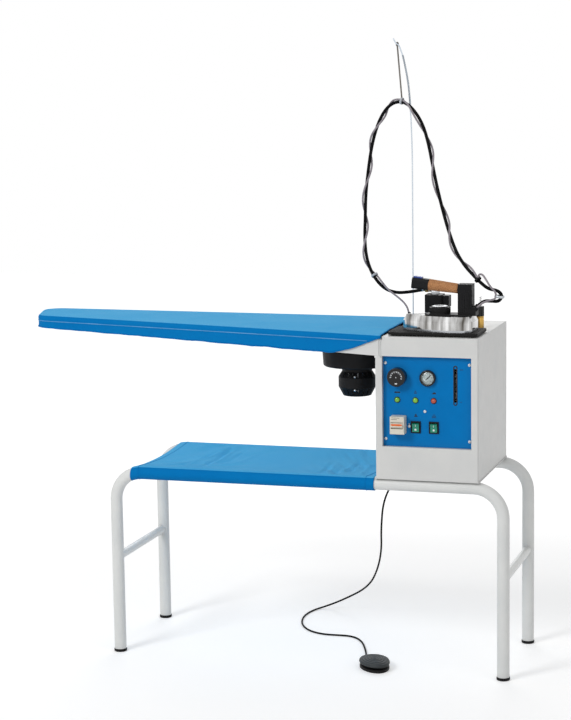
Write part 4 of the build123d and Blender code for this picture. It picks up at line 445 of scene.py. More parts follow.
def joined(name, meshes):
    # several meshes as one
    bm = bmesh.new()
    for mesh in meshes:
        bm.from_mesh(mesh)
        bpy.data.meshes.remove(mesh)
    return meshOf(name, bm, outward=False)


def readPath(name, points, resolution=12):
    # the points that a NURBS spline near its control points really passes through
    curve = bpy.data.curves.new(name, "CURVE")
    curve.dimensions = "3D"
    spline = curve.splines.new("NURBS")
    spline.points.add(len(points) - 1)
    for seat, point in zip(spline.points, points):
        seat.co = (*point, 1)
    spline.order_u = 3
    spline.use_endpoint_u = True
    spline.resolution_u = resolution
    line = meshOfCurve(name, curve)
    path = [v.co.copy() for v in line.vertices]
    bpy.data.meshes.remove(line)
    return path


def meshOfCurve(name, curve):
    holder = bpy.data.objects.new(name, curve)
    mesh = bpy.data.meshes.new_from_object(holder)
    bpy.data.objects.remove(holder)
    bpy.data.curves.remove(curve)
    return mesh


def around(path, index):
    # the step from the point before to the point after
    return path[min(index + 1, len(path) - 1)] - path[max(index - 1, 0)]


def pathLengths(path):
    sums = [0.0]
    for a, b in zip(path, path[1:]):
        sums.append(sums[-1] + (b - a).length)
    return sums


def sweep(name, path, radius, sides=16, radii=None, flat=1.0, facing=None):
    # a tube round a path, its section kept from twisting, with a map of length and turn
    bm = bmesh.new()
    layer = bm.loops.layers.uv.new("map")
    rings, lengths = [], pathLengths(path)
    side = Vector(facing) if facing else (path[1] - path[0]).normalized().orthogonal().normalized()
    for index, point in enumerate(path):
        tangent = around(path, index).normalized()
        side = (tangent.cross(side.cross(tangent))).normalized()
        across = tangent.cross(side) * flat
        reach = radii[index] if radii else radius
        turns = [tau * k / sides for k in range(sides)]
        rings.append([bm.verts.new(point + (side * cos(turn) + across * sin(turn)) * reach) for turn in turns])
    for i in range(len(rings) - 1):
        for k in range(sides):
            n = (k + 1) % sides
            face = bm.faces.new((rings[i][k], rings[i][n], rings[i + 1][n], rings[i + 1][k]))
            for loop, (row, step) in zip(face.loops, ((i, k), (i, k + 1), (i + 1, k + 1), (i + 1, k))):
                loop[layer].uv = (lengths[row], step * tau * radius / sides)
    bm.faces.new(rings[0][::-1])
    bm.faces.new(rings[-1])
    return meshOf(name, bm)


def sweepPiece(name, path, radius, sides, finish, body="table", slot=None, **form):
    return addObject(name, sweep(name, path, radius, sides, **form), finish, body)


def skin(name, rows, finish, body="table", closed=False, capped=False):
    # a surface over rows of points that each run round
    sides, count = len(rows[0]), len(rows)
    faces = []
    for i in range(count if closed else count - 1):
        j = (i + 1) % count
        for k in range(sides):
            n = (k + 1) % sides
            faces.append((i * sides + k, i * sides + n, j * sides + n, j * sides + k))
    if capped:
        faces += [tuple(range(sides)), tuple(range((count - 1) * sides, count * sides))]
    bm = bmesh.new()
    mesh = meshFrom(name, [point for row in rows for point in row], faces)
    bm.from_mesh(mesh)
    bpy.data.meshes.remove(mesh)
    bmesh.ops.remove_doubles(bm, verts=bm.verts, dist=0.00001)
    return addObject(name, meshOf(name, bm), finish, body)


def lathe(name, centre, axis, profile, finish, sides=32, body="table", closed=False):
    # profile: (radius, height) pairs turned round the axis
    lean = Vector(axis).normalized().to_track_quat("Z", "Y").to_matrix()
    rows = []
    for radius, height in profile:
        turns = [tau * k / sides for k in range(sides)]
        rows.append([Vector(centre) + lean @ Vector((radius * cos(a), radius * sin(a), height)) for a in turns])
    return skin(name, rows, finish, body, closed)


def ringOn(name, centre, axis, inner, outer, width, finish, sides=28, body="table"):
    # a short collar with rounded rims round an axis
    rim = 0.0004
    half = width / 2
    profile = [(inner, -half), (outer - rim, -half), (outer, rim - half), (outer, half - rim),
               (outer - rim, half), (inner, half)]
    return lathe(name, centre, axis, profile, finish, sides, body, closed=True)


def millimetres(points):
    return [Vector(p) / 1000 for p in points]


# ---- cords: steam hose, the iron's cable twisted round it, the pedal's cord
hoseCord = {
    "diameter": 0.0086,
    "route": millimetres([
        (424, 101, 957), (414, 101, 957), (370, 97, 949), (337, 90, 947.6), (306, 84, 960), (275, 93, 993),
        (255, 106, 1036), (247, 119, 1088), (246, 132, 1142), (244, 146, 1202), (248, 158, 1264),
        (255, 167, 1324), (267, 175, 1377), (287, 181, 1421), (313, 183, 1444), (345, 180, 1444),
        (376, 164, 1419), (402, 146, 1382), (421, 124, 1334), (436, 101, 1284), (454, 73, 1229),
        (475, 43, 1173), (499, 9, 1118), (527, -31, 1069), (556, -67, 1039), (583, -94, 1019),
        (605, -104.5, 1000), (626, -105, 984), (650, -105, 981), (661, -105, 968), (652, -105, 953),
        (632, -105, 954.5), (611.506, -104.75, 954.006), (599.485, -104.75, 941.985)]),
}
cableCord = {
    "diameter": 0.005,
    "distance": 0.0082,
    "halfTurns": (0.1025, 0.1508, 0.2079, 0.2601, 0.3222, 0.3734, 0.4237, 0.4611, 0.5291, 0.6020,
                  0.6650, 0.7488, 0.8069, 0.8749),
    "steps": 6,
    "start": millimetres([(385.5, 45, 887), (384.5, 46, 905), (373, 53, 924), (352, 60, 940), (324, 68, 957)]),
    "beside": [0.8861, 0.8973],
    "end": millimetres([(603, -113, 1022), (614, -118, 1022), (624, -119, 1006), (634, -118, 990),
                        (646, -117, 979), (648, -118, 962), (630, -118, 957), (611.506, -117.75, 950.756),
                        (599.485, -117.75, 938.735)]),
}
pedalCord = {
    "diameter": 0.005,
    "route": millimetres([
        (366, -66, 488), (365, -66.5, 468), (348, -60, 441), (331, -36, 400), (317, 4, 350), (304, 48, 306),
        (292, 97, 264), (274, 151, 213), (249, 208, 162), (220, 260, 116), (181, 304, 78), (130, 342, 45),
        (86, 364, 20), (50, 365, 5), (28, 332, 2.7), (19, 275, 2.7), (28, 213, 2.7), (50, 160, 2.7),
        (84, 120, 2.7), (125, 102, 2.7), (160, 103, 2.7), (194, 105, 2.7), (222, 91, 2.7), (246, 57, 2.7),
        (265, 12, 2.7), (282, -36, 2.7), (294.5, -80.52, 5.0), (306.5, -101.306, 5.0)]),
}

hosePath = readPath("hoseRoute", hoseCord["route"])


def onPath(path, sums, want):
    # the point at a length along a path, and the index of the path's point at or after it
    index = max(1, next((i for i, s in enumerate(sums) if s >= want), len(path) - 1))
    part = (want - sums[index - 1]) / max(1e-9, sums[index] - sums[index - 1])
    return path[index - 1].lerp(path[index], part), index


hoseLengths = pathLengths(hosePath)


def onHose(share):
    # a point of the hose's middle line and its direction, at a share of its length
    point, index = onPath(hosePath, hoseLengths, share * hoseLengths[-1])
    low, high = hosePath[max(0, index - 3)], hosePath[min(len(hosePath) - 1, index + 3)]
    return point, (high - low).normalized()


def twistAngle(share):
    # half a turn from each mark to the next, and on at the same rate beyond the first and the last
    marks = cableCord["halfTurns"]
    after = next((i for i, mark in enumerate(marks) if share <= mark), len(marks) - 1)
    low = max(0, after - 1)
    turns = low + 1 + (share - marks[low]) / (marks[low + 1] - marks[low])
    return pi * turns


def besideHose(share, distance):
    point, tangent = onHose(share)
    outward = tangent.cross(Vector((0, 1, 0))).normalized()
    sideways = tangent.cross(outward).normalized()
    angle = twistAngle(share)
    return point + (outward * cos(angle) + sideways * sin(angle)) * distance


def cablePoints():
    marks, steps = cableCord["halfTurns"], cableCord["steps"]
    shares = [low + (high - low) * k / steps for low, high in zip(marks, marks[1:]) for k in range(steps)]
    shares += [marks[-1]] + cableCord["beside"]
    turns = [besideHose(share, cableCord["distance"]) for share in shares]
    return cableCord["start"] + turns + cableCord["end"]


cablePath = readPath("cableRoute", cablePoints(), 6)
pedalPath = readPath("pedalCordRoute", pedalCord["route"])
hose = sweepPiece("steamHose", hosePath, hoseCord["diameter"] / 2, 20, "hoseRubber", None, "hose_black")
cable = sweepPiece("ironCable", cablePath, cableCord["diameter"] / 2, 14, "cableBraid", None)
foot = sweepPiece("pedalCord", pedalPath, pedalCord["diameter"] / 2, 14, "hoseRubber")
for piece, node in ((hose, "steam_hose"), (cable, "iron_cable"), (foot, "pedal_cord")):
    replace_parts(piece, node)
print("cords done", *(round(pathLengths(path)[-1], 3) for path in (hosePath, cablePath, pedalPath)))

# ties round the hose and the cable, and the strap that hangs them on the antenna's hook
tie = {"inner": 0.0080, "outer": 0.0092, "width": 0.006, "offset": 0.0032, "top": 0.4734}
strapForm = {"hook": Vector((0.3205, 0.196, 1.5948)), "loop": Vector((0.51, 0, 1)) * 0.0042, "back": 0.0003,
             "width": 0.0042, "flat": 0.35, "rise": 0.0086, "steps": 10, "loopSteps": 14}
hoseExtras = []
for name, share, finish, body in (("leftTie", 0.1163, "tieWhite", "table"), ("topTie", tie["top"], "tieWhite", "table"),
                                  ("rightClamp", 0.8973, "blackPlastic", "iron")):
    hoseExtras.append(ringOn(name, besideHose(share, tie["offset"]), onHose(share)[1], tie["inner"], tie["outer"],
                             tie["width"], finish, body=body))
strapFoot = besideHose(tie["top"], tie["offset"]) + Vector((0, 0, strapForm["rise"]))
loopTurns = [pi + tau * k / strapForm["loopSteps"] for k in range(strapForm["loopSteps"] + 1)]
strapLoop = [strapForm["hook"] + Vector((strapForm["loop"].x * sin(a), strapForm["back"], strapForm["loop"].z * cos(a)))
             for a in loopTurns]
strapPath = [strapFoot.lerp(strapLoop[0], k / strapForm["steps"]) for k in range(strapForm["steps"])] + strapLoop
strap = sweepPiece("hangerStrap", strapPath, strapForm["width"] / 2, 10, "strapGrey", slot="tie_white",
                   flat=strapForm["flat"], facing=(1, 0, 0))
for piece in (*hoseExtras[:2], strap):
    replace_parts(piece, "hose_ties")
print("ties and strap done")

# ---- padded board: cover, felt pad, piping and hem
board = {
    "end": 0.3515, "coverEnd": 0.368, "front": -0.189, "rear": 0.192, "frontReach": 1.012, "rearReach": 1.06375,
    "noseFront": 0.020, "frontRadius": 0.045, "rearRadius": 0.050, "top": 0.876, "crown": 0.004,
    "edge": 0.008, "cover": 0.0015, "trayEnd": 0.3635, "trayLow": 0.820, "trayRise": 0.024,
    "hemDrop": 0.0015, "hemRun": 0.135, "hemEndDrop": 0.009, "padLow": 0.863,
    "step": 0.009, "sideRows": 9, "edgeRows": 6, "topRows": 22, "inside": (-0.2, 0.02), "noseCentre": 0.105,
    "padInset": 0.0019, "piping": 0.0075, "pipingLeast": 0.0085, "pipingRadius": 0.0011, "hemRadius": 0.0013,
    "endRadius": 0.0012,
}


def roundedCorner(before, corner, after, radius, count=14):
    a = (before - corner).normalized()
    b = (after - corner).normalized()
    half = a.angle(b) / 2
    centre = corner + (a + b).normalized() * radius / sin(half)
    start = corner + a * radius / (sin(half) / cos(half))
    end = corner + b * radius / (sin(half) / cos(half))
    low, high = atan2(*(start - centre).yx), atan2(*(end - centre).yx)
    sweepAngle = (high - low + pi) % tau - pi
    return [centre + Vector((cos(low + sweepAngle * k / count), sin(low + sweepAngle * k / count))) * radius
            for k in range(count + 1)]


def boardOutline(inset):
    # from the front corner at the cabinet round the nose to the rear corner, evenly spaced
    slope = (board["noseFront"] - board["front"]) / board["frontReach"]
    a = Vector((board["coverEnd"], board["front"] + (board["end"] - board["coverEnd"]) * slope))
    p = Vector((board["end"] - board["frontReach"], board["noseFront"]))
    q = Vector((board["end"] - board["rearReach"], board["rear"]))
    b = Vector((board["coverEnd"], board["rear"]))
    corners = [a] + roundedCorner(a, p, q, board["frontRadius"]) + roundedCorner(p, q, b, board["rearRadius"])
    corners.append(b)
    lengths = pathLengths(corners)
    count = int(lengths[-1] / board["step"])
    line, seat = [], 0
    for k in range(count + 1):
        want = lengths[-1] * k / count
        while seat < len(lengths) - 2 and lengths[seat + 1] < want:
            seat += 1
        part = (want - lengths[seat]) / (lengths[seat + 1] - lengths[seat])
        line.append(corners[seat].lerp(corners[seat + 1], part))
    result = []
    for k, point in enumerate(line):
        ahead = around(line, k).normalized()
        outward = Vector((ahead.y, -ahead.x))
        if outward.dot(point - Vector(board["inside"])) < 0:
            outward = -outward
        if k in (0, count):
            outward = Vector((0, -1 if k == 0 else 1))
        result.append((point - outward * inset, outward, lengths[-1] * k / count))
    return result


def crownDrop(x, y):
    # how far the board's top lies under its middle line
    middleRight = (board["front"] + board["rear"]) / 2
    middleLeft = (board["noseFront"] + board["rear"]) / 2
    slope = (middleLeft - middleRight) / board["rearReach"]
    half = (board["rear"] - board["front"]) / 2
    radius = (half ** 2 + board["crown"] ** 2) / (2 * board["crown"])
    away = (y - middleRight - slope * (board["end"] - x)) / sqrt(1 + slope ** 2)
    return radius - sqrt(radius ** 2 - away ** 2)


def hemHeight(x):
    # low along the tray, and rising to the top over the last stretch before the cabinet
    floorAt = board["trayLow"] + (board["trayEnd"] - x) * board["trayRise"] / board["rearReach"] - board["hemDrop"]
    start = board["coverEnd"] - board["hemRun"]
    if x <= start:
        return floorAt
    part = (x - start) / board["hemRun"]
    top = board["top"] - board["hemEndDrop"]
    return floorAt + (top - floorAt) * (0.42 * part + 0.58 * part ** 1.35)


def softNoise(x, y, z, size):
    return noise.noise(Vector((x, y, z)) / size)


def topWave(x, y):
    # slow dents and the drawn folds that run from the cabinet's corner over the top
    wave = 0.0011 * softNoise(x, y, 0, 0.16) + 0.0004 * softNoise(x, y, 3, 0.05)
    nearEnd = max(0.0, min(1.0, (x - 0.02) / 0.33))
    along = (x - 0.35) * 0.28 + y
    fold = max(0.0, sin(along / 0.017 + 2 * softNoise(x, y, 7, 0.12)))
    wave += 0.0022 * nearEnd * fold * max(0.0, softNoise(x, y, 9, 0.1) + 0.3)
    return wave


def clothGrid(name, grid, onTop, mapOf):
    # a cloth over rows of points; onTop tells the top's columns, mapOf gives a corner's place on the map
    bm = bmesh.new()
    layer = bm.loops.layers.uv.new("map")
    verts = [[bm.verts.new(point) for point in row] for row in grid]
    for i in range(len(grid) - 1):
        for j in range(len(grid[0]) - 1):
            seats = ((i, j), (i + 1, j), (i + 1, j + 1), (i, j + 1))
            corners = [verts[row][column] for row, column in seats]
            if len({tuple(round(c, 6) for c in v.co) for v in corners}) < 3:
                continue
            face = bm.faces.new(corners)
            face.material_index = 0 if onTop(j) else 1
            face.smooth = True
            for loop, seat in zip(face.loops, seats):
                loop[layer].uv = mapOf(loop.vert.co, seat, onTop(j))
    bmesh.ops.remove_doubles(bm, verts=bm.verts, dist=0.00002)
    return meshOf(name, bm)


def buildBoardForm(name, inset, skirt):
    outline = boardOutline(inset)
    edge = board["edge"] - inset
    noseCentre = board["end"] - board["rearReach"] + board["noseCentre"]
    rows = []
    for index, (point, outward, length) in enumerate(outline):
        column = []
        high = board["top"] - inset - crownDrop(point.x, point.y) - edge
        low = hemHeight(point.x) if skirt else board["padLow"]
        if skirt:
            low += 0.0016 * softNoise(length, 0, 1, 0.05) + 0.0007 * softNoise(length, 0, 5, 0.014)
            deep = 0.016 if point.x < board["coverEnd"] - board["hemRun"] - 0.03 else 0.0022
            for back, rise in ((deep, 0.0010), (deep * 0.5, 0.0002)):
                column.append((point - outward * back, low + rise))
        for k in range(board["sideRows"] + 1):
            share = k / board["sideRows"]
            z = low + (high - low) * share
            swell = 0.0
            if skirt:  # drawn in between top and hem, and more uneven towards the hem
                swell = 0.0009 * (1 - share) * softNoise(length, z * 0.4, 2, 0.035) - 0.0007 * sin(pi * share)
                swell += 0.0012 * (1 - share) ** 2 * softNoise(length, 0, 8, 0.012)
            column.append((point + outward * swell, z))
        for k in range(1, board["edgeRows"] + 1):
            angle = pi / 2 * k / board["edgeRows"]
            column.append((point - outward * edge * (1 - cos(angle)), high + edge * sin(angle)))
        start = point - outward * edge
        facing, facingOutward = outline[-1 - index][:2]
        middle = Vector((max((start.x + (facing - facingOutward * edge).x) / 2, noseCentre), 0))
        taper = (board["noseFront"] - board["front"]) / board["frontReach"]
        middle.y = (board["front"] + (board["end"] - middle.x) * taper + board["rear"]) / 2
        for k in range(1, board["topRows"] + 1):
            spot = start.lerp(middle, k / board["topRows"])
            z = board["top"] - inset - crownDrop(spot.x, spot.y)
            if skirt:
                z += topWave(spot.x, spot.y) * min(1.0, k / 4) - 0.0006
            column.append((spot, z))
        rows.append((column, length))
    grid = [[(p.x, p.y, z) for p, z in column] for column, length in rows]
    edgeIndex = (2 if skirt else 0) + board["sideRows"] + board["edgeRows"] - 2
    mesh = clothGrid(name, grid, lambda j: j >= edgeIndex,
                     lambda co, seat, top: (co.x, co.y) if top else (rows[seat[0]][1], co.z))
    return mesh, rows


def clothPiece(mesh, top, sides, node, thickness=0.0):
    # a cloth whose top faces have one colour and whose sides another; for the cover and the shelf the top's paler blue
    # is painted light and the sides' deeper blue painted shade
    piece = addObject(mesh.name, mesh, top, smooth=False)
    mesh.materials.append(materials[sides])
    if thickness:
        hull = piece.modifiers.new("thickness", "SOLIDIFY")
        hull.thickness = thickness
        hull.offset = -1
    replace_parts(piece, node)
    return piece


coverMesh, coverRows = buildBoardForm("boardCover", 0.0, True)
cover = clothPiece(coverMesh, "boardCloth", "skirtCloth", "board_cover", board["cover"])
padMesh = buildBoardForm("boardPad", board["padInset"], False)[0]
pad = clothPiece(padMesh, "felt", "felt", "board_pad")
coverOutline = boardOutline(0.0)


def onCover(row, part, lift):
    # a point on the cover's side at a share of its height, pushed out a little
    column = coverRows[row][0]
    seat = 2 + part * board["sideRows"]
    low = int(min(seat, 1 + board["sideRows"]))
    share = seat - low
    (p, z), (q, h) = column[low], column[low + 1]
    spot = p.lerp(q, share) + coverOutline[row][1] * lift
    return Vector((spot.x, spot.y, z + (h - z) * share))


# the piping along the cover's upper side is drawn pale: a painted highlight on the seam
pipingPath = []
for row, (column, length) in enumerate(coverRows):
    height = column[2 + board["sideRows"]][1] - column[2][1]
    if height > board["pipingLeast"]:
        pipingPath.append(onCover(row, max(0.0, 1 - board["piping"] / height), 0.0003))
sweepPiece("coverPipingHighlight", pipingPath, board["pipingRadius"], 8, "pipingCloth")
hemPath = [onCover(row, 0.0, 0.0004) + Vector((0, 0, 0.0006)) for row in range(len(coverRows))]
sweepPiece("coverHem", hemPath, board["hemRadius"], 8, "skirtCloth")
print("board cover and pad done")


# ---- shelf cloth slung over the rails
shelf = {"left": -0.305, "right": 0.3465, "railY": 0.171, "railZ": 0.490, "radius": 0.0183,
         "sag": 0.010, "slant": 0.0095, "bendStart": -0.2865, "bendRadius": 0.075,
         "thickness": 0.0013, "columns": 190, "acrossRows": 64, "wrapRows": 16, "wrap": 250, "hem": 0.0215,
         "stitch": 0.0007, "foldRise": 1.5,
         "folds": [(-0.196, -0.105, -0.172, 0.050, 0.0055, -0.0026), (-0.181, -0.090, -0.160, 0.060, 0.0055, 0.0022),
                   (-0.1385, -0.105, -0.142, 0.112, 0.0060, -0.0030), (-0.123, -0.080, -0.126, 0.100, 0.0055, 0.0022),
                   (-0.108, -0.030, -0.096, 0.098, 0.0055, -0.0022), (-0.070, -0.060, -0.052, 0.060, 0.0080, 0.0012),
                   (0.196, -0.150, 0.178, 0.000, 0.0065, -0.0024), (0.211, -0.140, 0.196, -0.020, 0.0060, 0.0020),
                   (0.235, -0.160, 0.219, -0.045, 0.0060, -0.0032), (0.249, -0.130, 0.236, -0.020, 0.0055, 0.0022),
                   (0.262, -0.105, 0.247, 0.030, 0.0060, -0.0026), (0.300, -0.140, 0.286, 0.020, 0.0070, 0.0018)]}


def foldHeight(x, y):
    # drawn folds: each runs from one point to another, with its half width and its height
    total = 0.0
    for x0, y0, x1, y1, width, height in shelf["folds"]:
        run, spot = Vector((x1 - x0, y1 - y0)), Vector((x - x0, y - y0))
        share = spot.dot(run) / run.length_squared
        if -0.3 < share < 1.3:
            bent = 0.006 * softNoise(y, x0, 11, 0.07)
            away = spot.cross(run) / run.length
            fade = max(0.0, min(1.0, (share + 0.3) / 0.5, (1.3 - share) / 0.5))
            total += shelf["foldRise"] * height * fade * exp(-((away + bent) / width) ** 2)
    return total


def shelfWave(x, y):
    # soft diagonal wrinkles at the left end and dimples near the cabinet
    diagonal = x * 0.82 - y * 0.57
    leftShare = max(0.0, 1 - abs(x + 0.15) / 0.17)
    rightShare = max(0.0, 1 - abs(x - 0.24) / 0.12)
    wave = 0.0034 * leftShare * sin(diagonal / 0.011 + 2.5 * softNoise(x, y, 1, 0.09))
    wave *= max(0.0, softNoise(x, y, 4, 0.11) + 0.35)
    wave += 0.0048 * rightShare * softNoise(x * 2.2 + y, y * 0.5, 6, 0.045)
    return wave + foldHeight(x, y) + 0.0012 * softNoise(x, y, 2, 0.15)


def shelfLeft(y):
    # the left hem runs aslant, further out at the front rail
    return shelf["left"] - shelf["slant"] * max(0.0, min(1.0, (shelf["railY"] - y) / (2 * shelf["railY"])))


def railDrop(x):
    # how far the rail has bent down beyond the start of its left bend
    beyond = max(0.0, shelf["bendStart"] - x)
    return shelf["bendRadius"] - sqrt(shelf["bendRadius"] ** 2 - beyond ** 2)


def buildShelf():
    section = []
    railY, railZ, r = shelf["railY"], shelf["railZ"], shelf["radius"]
    turns = [shelf["wrap"] * k / shelf["wrapRows"] for k in range(shelf["wrapRows"] + 1)]
    for turn in turns:  # round the front rail, from inside under it up over its front
        angle = radians(shelf["wrap"] - 270 - turn)
        section.append((-railY + r * cos(angle), railZ + r * sin(angle)))
    for k in range(1, shelf["acrossRows"]):
        y = -railY + 2 * railY * k / shelf["acrossRows"]
        section.append((y, railZ + r - shelf["sag"] * (1 - (y / railY) ** 2)))
    for turn in turns:
        angle = radians(90 - turn)
        section.append((railY + r * cos(angle), railZ + r * sin(angle)))
    lengths = pathLengths([Vector(point) for point in section])
    grid = []
    for i in range(shelf["columns"] + 1):
        row = []
        for y, z in section:
            x = shelfLeft(y) + (shelf["right"] - shelfLeft(y)) * i / shelf["columns"]
            fade = min(1.0, (x - shelfLeft(y)) / 0.03)
            z -= railDrop(x)
            inside = max(0.0, 1 - (y / railY) ** 8)
            z += shelfWave(x, y) * fade * inside
            endShift = 0.0012 * softNoise(y, z, 3, 0.04) if i in (0, shelf["columns"]) else 0.0
            row.append((x + endShift, y, z))
        grid.append(row)
    topRows = range(shelf["wrapRows"] - 2, len(section) - shelf["wrapRows"] + 1)
    mesh = clothGrid("shelfCloth", grid, lambda j: j in topRows, lambda co, seat, top: (co.x, lengths[seat[1]]))
    return mesh, section, lengths[-1]


shelfMesh, shelfSection, shelfSpan = buildShelf()
shelfPiece = clothPiece(shelfMesh, "boardCloth", "skirtCloth", "shelf_cloth", shelf["thickness"])
for name in ("shelfHemLeft", "shelfHemRight"):
    path = []
    for y, z in shelfSection:
        x = shelfLeft(y) + shelf["hem"] if name == "shelfHemLeft" else shelf["right"] - shelf["hem"]
        path.append(Vector((x, y, z - railDrop(x))))
    lifted = []
    for index, point in enumerate(path):
        ahead = around(path, index)
        outward = Vector((0, ahead.z, -ahead.y)).normalized()
        wave = shelfWave(point.x, point.y) * max(0.0, 1 - (point.y / shelf["railY"]) ** 8)
        lifted.append(point - outward * 0.0002 + Vector((0, 0, wave)))
    sweepPiece(name, lifted, shelf["stitch"], 6, "skirtCloth", slot="shelf_blue")
print("shelf cloth done, span", round(shelfSpan, 3))

# hem band round the cover's end at the cabinet
endColumn, farColumn = coverRows[0][0], coverRows[-1][0]
endPath = [Vector((board["coverEnd"], p.y, z)) for p, z in endColumn[2:] + farColumn[-2:1:-1]]
sweepPiece("coverEndBand", endPath, board["endRadius"], 8, "skirtCloth")


# ---- prints and small marks laid on the faces of other pieces
trees = {}


def faceOf(name, spot, direction):
    # where a ray from the spot meets a CAD node
    if name not in trees:
        source = nodes[name]
        corners = [source.matrix_world @ v.co for v in source.data.vertices]
        trees[name] = BVHTree.FromPolygons(corners, [list(f.vertices) for f in source.data.polygons])
    return trees[name].ray_cast(Vector(spot), Vector(direction))[0]


def printFront(name, on, shapes, finish, body="table", lift=0.0002):
    # flat shapes given as (x, z) outlines, laid on the front of a node or at a depth y
    bm = bmesh.new()
    for shape in shapes:
        front, back = [], []
        for x, z in shape:
            y = faceOf(on, (x, -1, z), (0, 1, 0)).y if isinstance(on, str) else on
            front.append(bm.verts.new((x, y - lift, z)))
            back.append(bm.verts.new((x, y + lift, z)))
        bm.faces.new(front)
        for k in range(len(shape)):
            n = (k + 1) % len(shape)
            bm.faces.new((front[k], back[k], back[n], front[n]))
    addObject(name, meshOf(name, bm), finish, body, smooth=False)


def spotOn(x, z, radius, angle):
    return x + radius * cos(radians(angle)), z + radius * sin(radians(angle))


def bar(x0, z0, x1, z1, width):
    a, b = Vector((x0, z0)), Vector((x1, z1))
    along = (b - a).normalized()
    across = Vector((-along.y, along.x)) * width / 2
    return [tuple(p) for p in (a - across, b - across, b + across, a + across)]


def bars(x, z, rows):
    # strokes round a middle: x0, z0, x1, z1 and width, in millimetres
    return [bar(x + a / 1000, z + b / 1000, x + c / 1000, z + d / 1000, width / 1000) for a, b, c, d, width in rows]


def disc(x, z, radius, count=18):
    return [spotOn(x, z, radius, 360 * k / count) for k in range(count)]


def arcs(x, z, radius, start, end, width, count=16):
    turns = [start + (end - start) * k / count for k in range(count + 1)]
    outer = [spotOn(x, z, radius + width / 2, a) for a in turns]
    return outer + [spotOn(x, z, radius - width / 2, a) for a in turns[::-1]]


def rays(x, z, inner, outer, angles, width):
    return [bar(*spotOn(x, z, inner, a), *spotOn(x, z, outer, a), width) for a in angles]


def numberMesh(text, x, z, height, y):
    # a plain number as thin raised letters, facing the front
    curve = bpy.data.curves.new("number", "FONT")
    curve.body, curve.size, curve.extrude = text, height, 0.0001
    curve.align_x = curve.align_y = "CENTER"
    mesh = meshOfCurve("number", curve)
    mesh.transform(Matrix.Translation((x, y, z)) @ Matrix.Rotation(pi / 2, 4, "X"))
    return mesh


forward, upward = (0, -1, 0), (0, 0, 1)

# thermostat knob: tick arc, middle dot and pointer mark
knob = {"x": 0.4095, "z": 0.768, "rim": 0.0158, "tick": 0.0118, "halfTick": 0.0138}
knobX, knobZ = knob["x"], knob["z"]
knobShapes = rays(knobX, knobZ, knob["tick"], knob["rim"], range(-12, 200, 24), 0.0014)
knobShapes += rays(knobX, knobZ, knob["halfTick"], knob["rim"], range(0, 186, 24), 0.0009)
knobShapes += [disc(knobX, knobZ, 0.0012)] + bars(knobX, knobZ - knob["rim"], [(-3, 0, 3, 0, 2.6)])
printFront("knobMarks", "thermostat_knob", knobShapes, "printWhite", "knob", lift=0.0003)

# pressure gauge: dial disc, ticks, numbers, hub and glass
gauge = {"x": 0.4865, "z": 0.766, "dial": -0.18026, "print": -0.18056, "glass": -0.1826, "hub": -0.1819,
         "hubShift": 0.0015, "ticks": (0.0122, 0.0146), "halfTicks": (0.0134, 0.0146), "rim": 0.0148,
         "numbers": 0.0098, "numberHeight": 0.0036}
gaugeX, gaugeZ = gauge["x"], gauge["z"]
lathe("gaugeDial", (gaugeX, gauge["dial"], gaugeZ), forward, [(0.0001, 0.0002), (0.0162, 0.0002), (0.0162, -0.0004)],
      "dialWhite", 40)
tickShapes = rays(gaugeX, gaugeZ, *gauge["ticks"], range(-45, 226, 27), 0.0008)
tickShapes += rays(gaugeX, gaugeZ, *gauge["halfTicks"], range(-31, 220, 27), 0.0005)
tickShapes.append(arcs(gaugeX, gaugeZ, gauge["rim"], -45, 225, 0.0004, 40))
printFront("gaugeTicks", gauge["print"], tickShapes, "glossBlack", lift=0.0001)
numbers = [numberMesh(str(step), *spotOn(gaugeX, gaugeZ, gauge["numbers"], 225 - 54 * step),
                      gauge["numberHeight"], gauge["print"]) for step in range(6)]
addObject("gaugeNumbers", joined("gaugeNumbers", numbers), "glossBlack", smooth=False)
lathe("gaugeGlass", (gaugeX, gauge["glass"], gaugeZ), forward,
      [(0.0001, 0.0006), (0.0165, 0.0004), (0.0168, 0.0), (0.0165, -0.0003), (0.0001, -0.0001)], "glass", 40)
lathe("gaugeHub", (gaugeX + gauge["hubShift"], gauge["hub"], gaugeZ), forward,
      [(0.0001, 0.0004), (0.0012, 0.0003), (0.0014, -0.0006)], "glossBlack", 20, "needle")

# black symbols on the panel, over the lamps and the switches, and the ends of the level's scale
panel = {"face": -0.176, "lamps": (0.4075, 0.4543, 0.501), "lampRow": 0.7085, "lampRings": -0.1768,
         "switches": (0.455, 0.5015), "screwX": (0.3765, 0.5935), "screwZ": (0.6075, 0.8025), "screwFace": -0.1782}
heater, ready, steam = panel["lamps"]
boilerX, fanX = panel["switches"]
symbols = bars(heater, 0.7275, [(-6, 0, 6, 0, 3.4)])
symbols += [disc(heater + side, 0.7275, 0.0017) for side in (-0.006, 0.006)]
symbols += bars(ready, 0.728, [(-4, -1.8, 4, -1.8, 1.0), (0, 0, 0, 5.5, 1.0), (-3, 0, -1.2, 3.2, 0.9),
                               (3, 0, 1.2, 3.2, 0.9)])
ironOutline = ((-6, 725.5), (6, 725.5), (5.2, 729.2), (1, 730.2), (-1.5, 728.4))
symbols.append([(steam + x / 1000, z / 1000) for x, z in ironOutline])
symbols += [disc(*spotOn(boilerX, 0.6695, 0.0026, angle), 0.0019, 10) for angle in (90, 210, 330)]
symbols.append(disc(boilerX, 0.6695, 0.0008, 10))
symbols += bars(fanX, 0.6662, [(x, 1, x, 5, 0.9) for x in (-4.2, -1.4, 1.4, 4.2)])
symbols += bars(fanX, 0.6662, [(-5.2, 0, 5.2, 0, 1.0), (-3, 7, 3, 7, 0.9)])
symbols += bars(0.5675, 0.708, [(0, 81, 9.5, 81, 1.2), (0, 0, 5.5, 0, 1.0)])
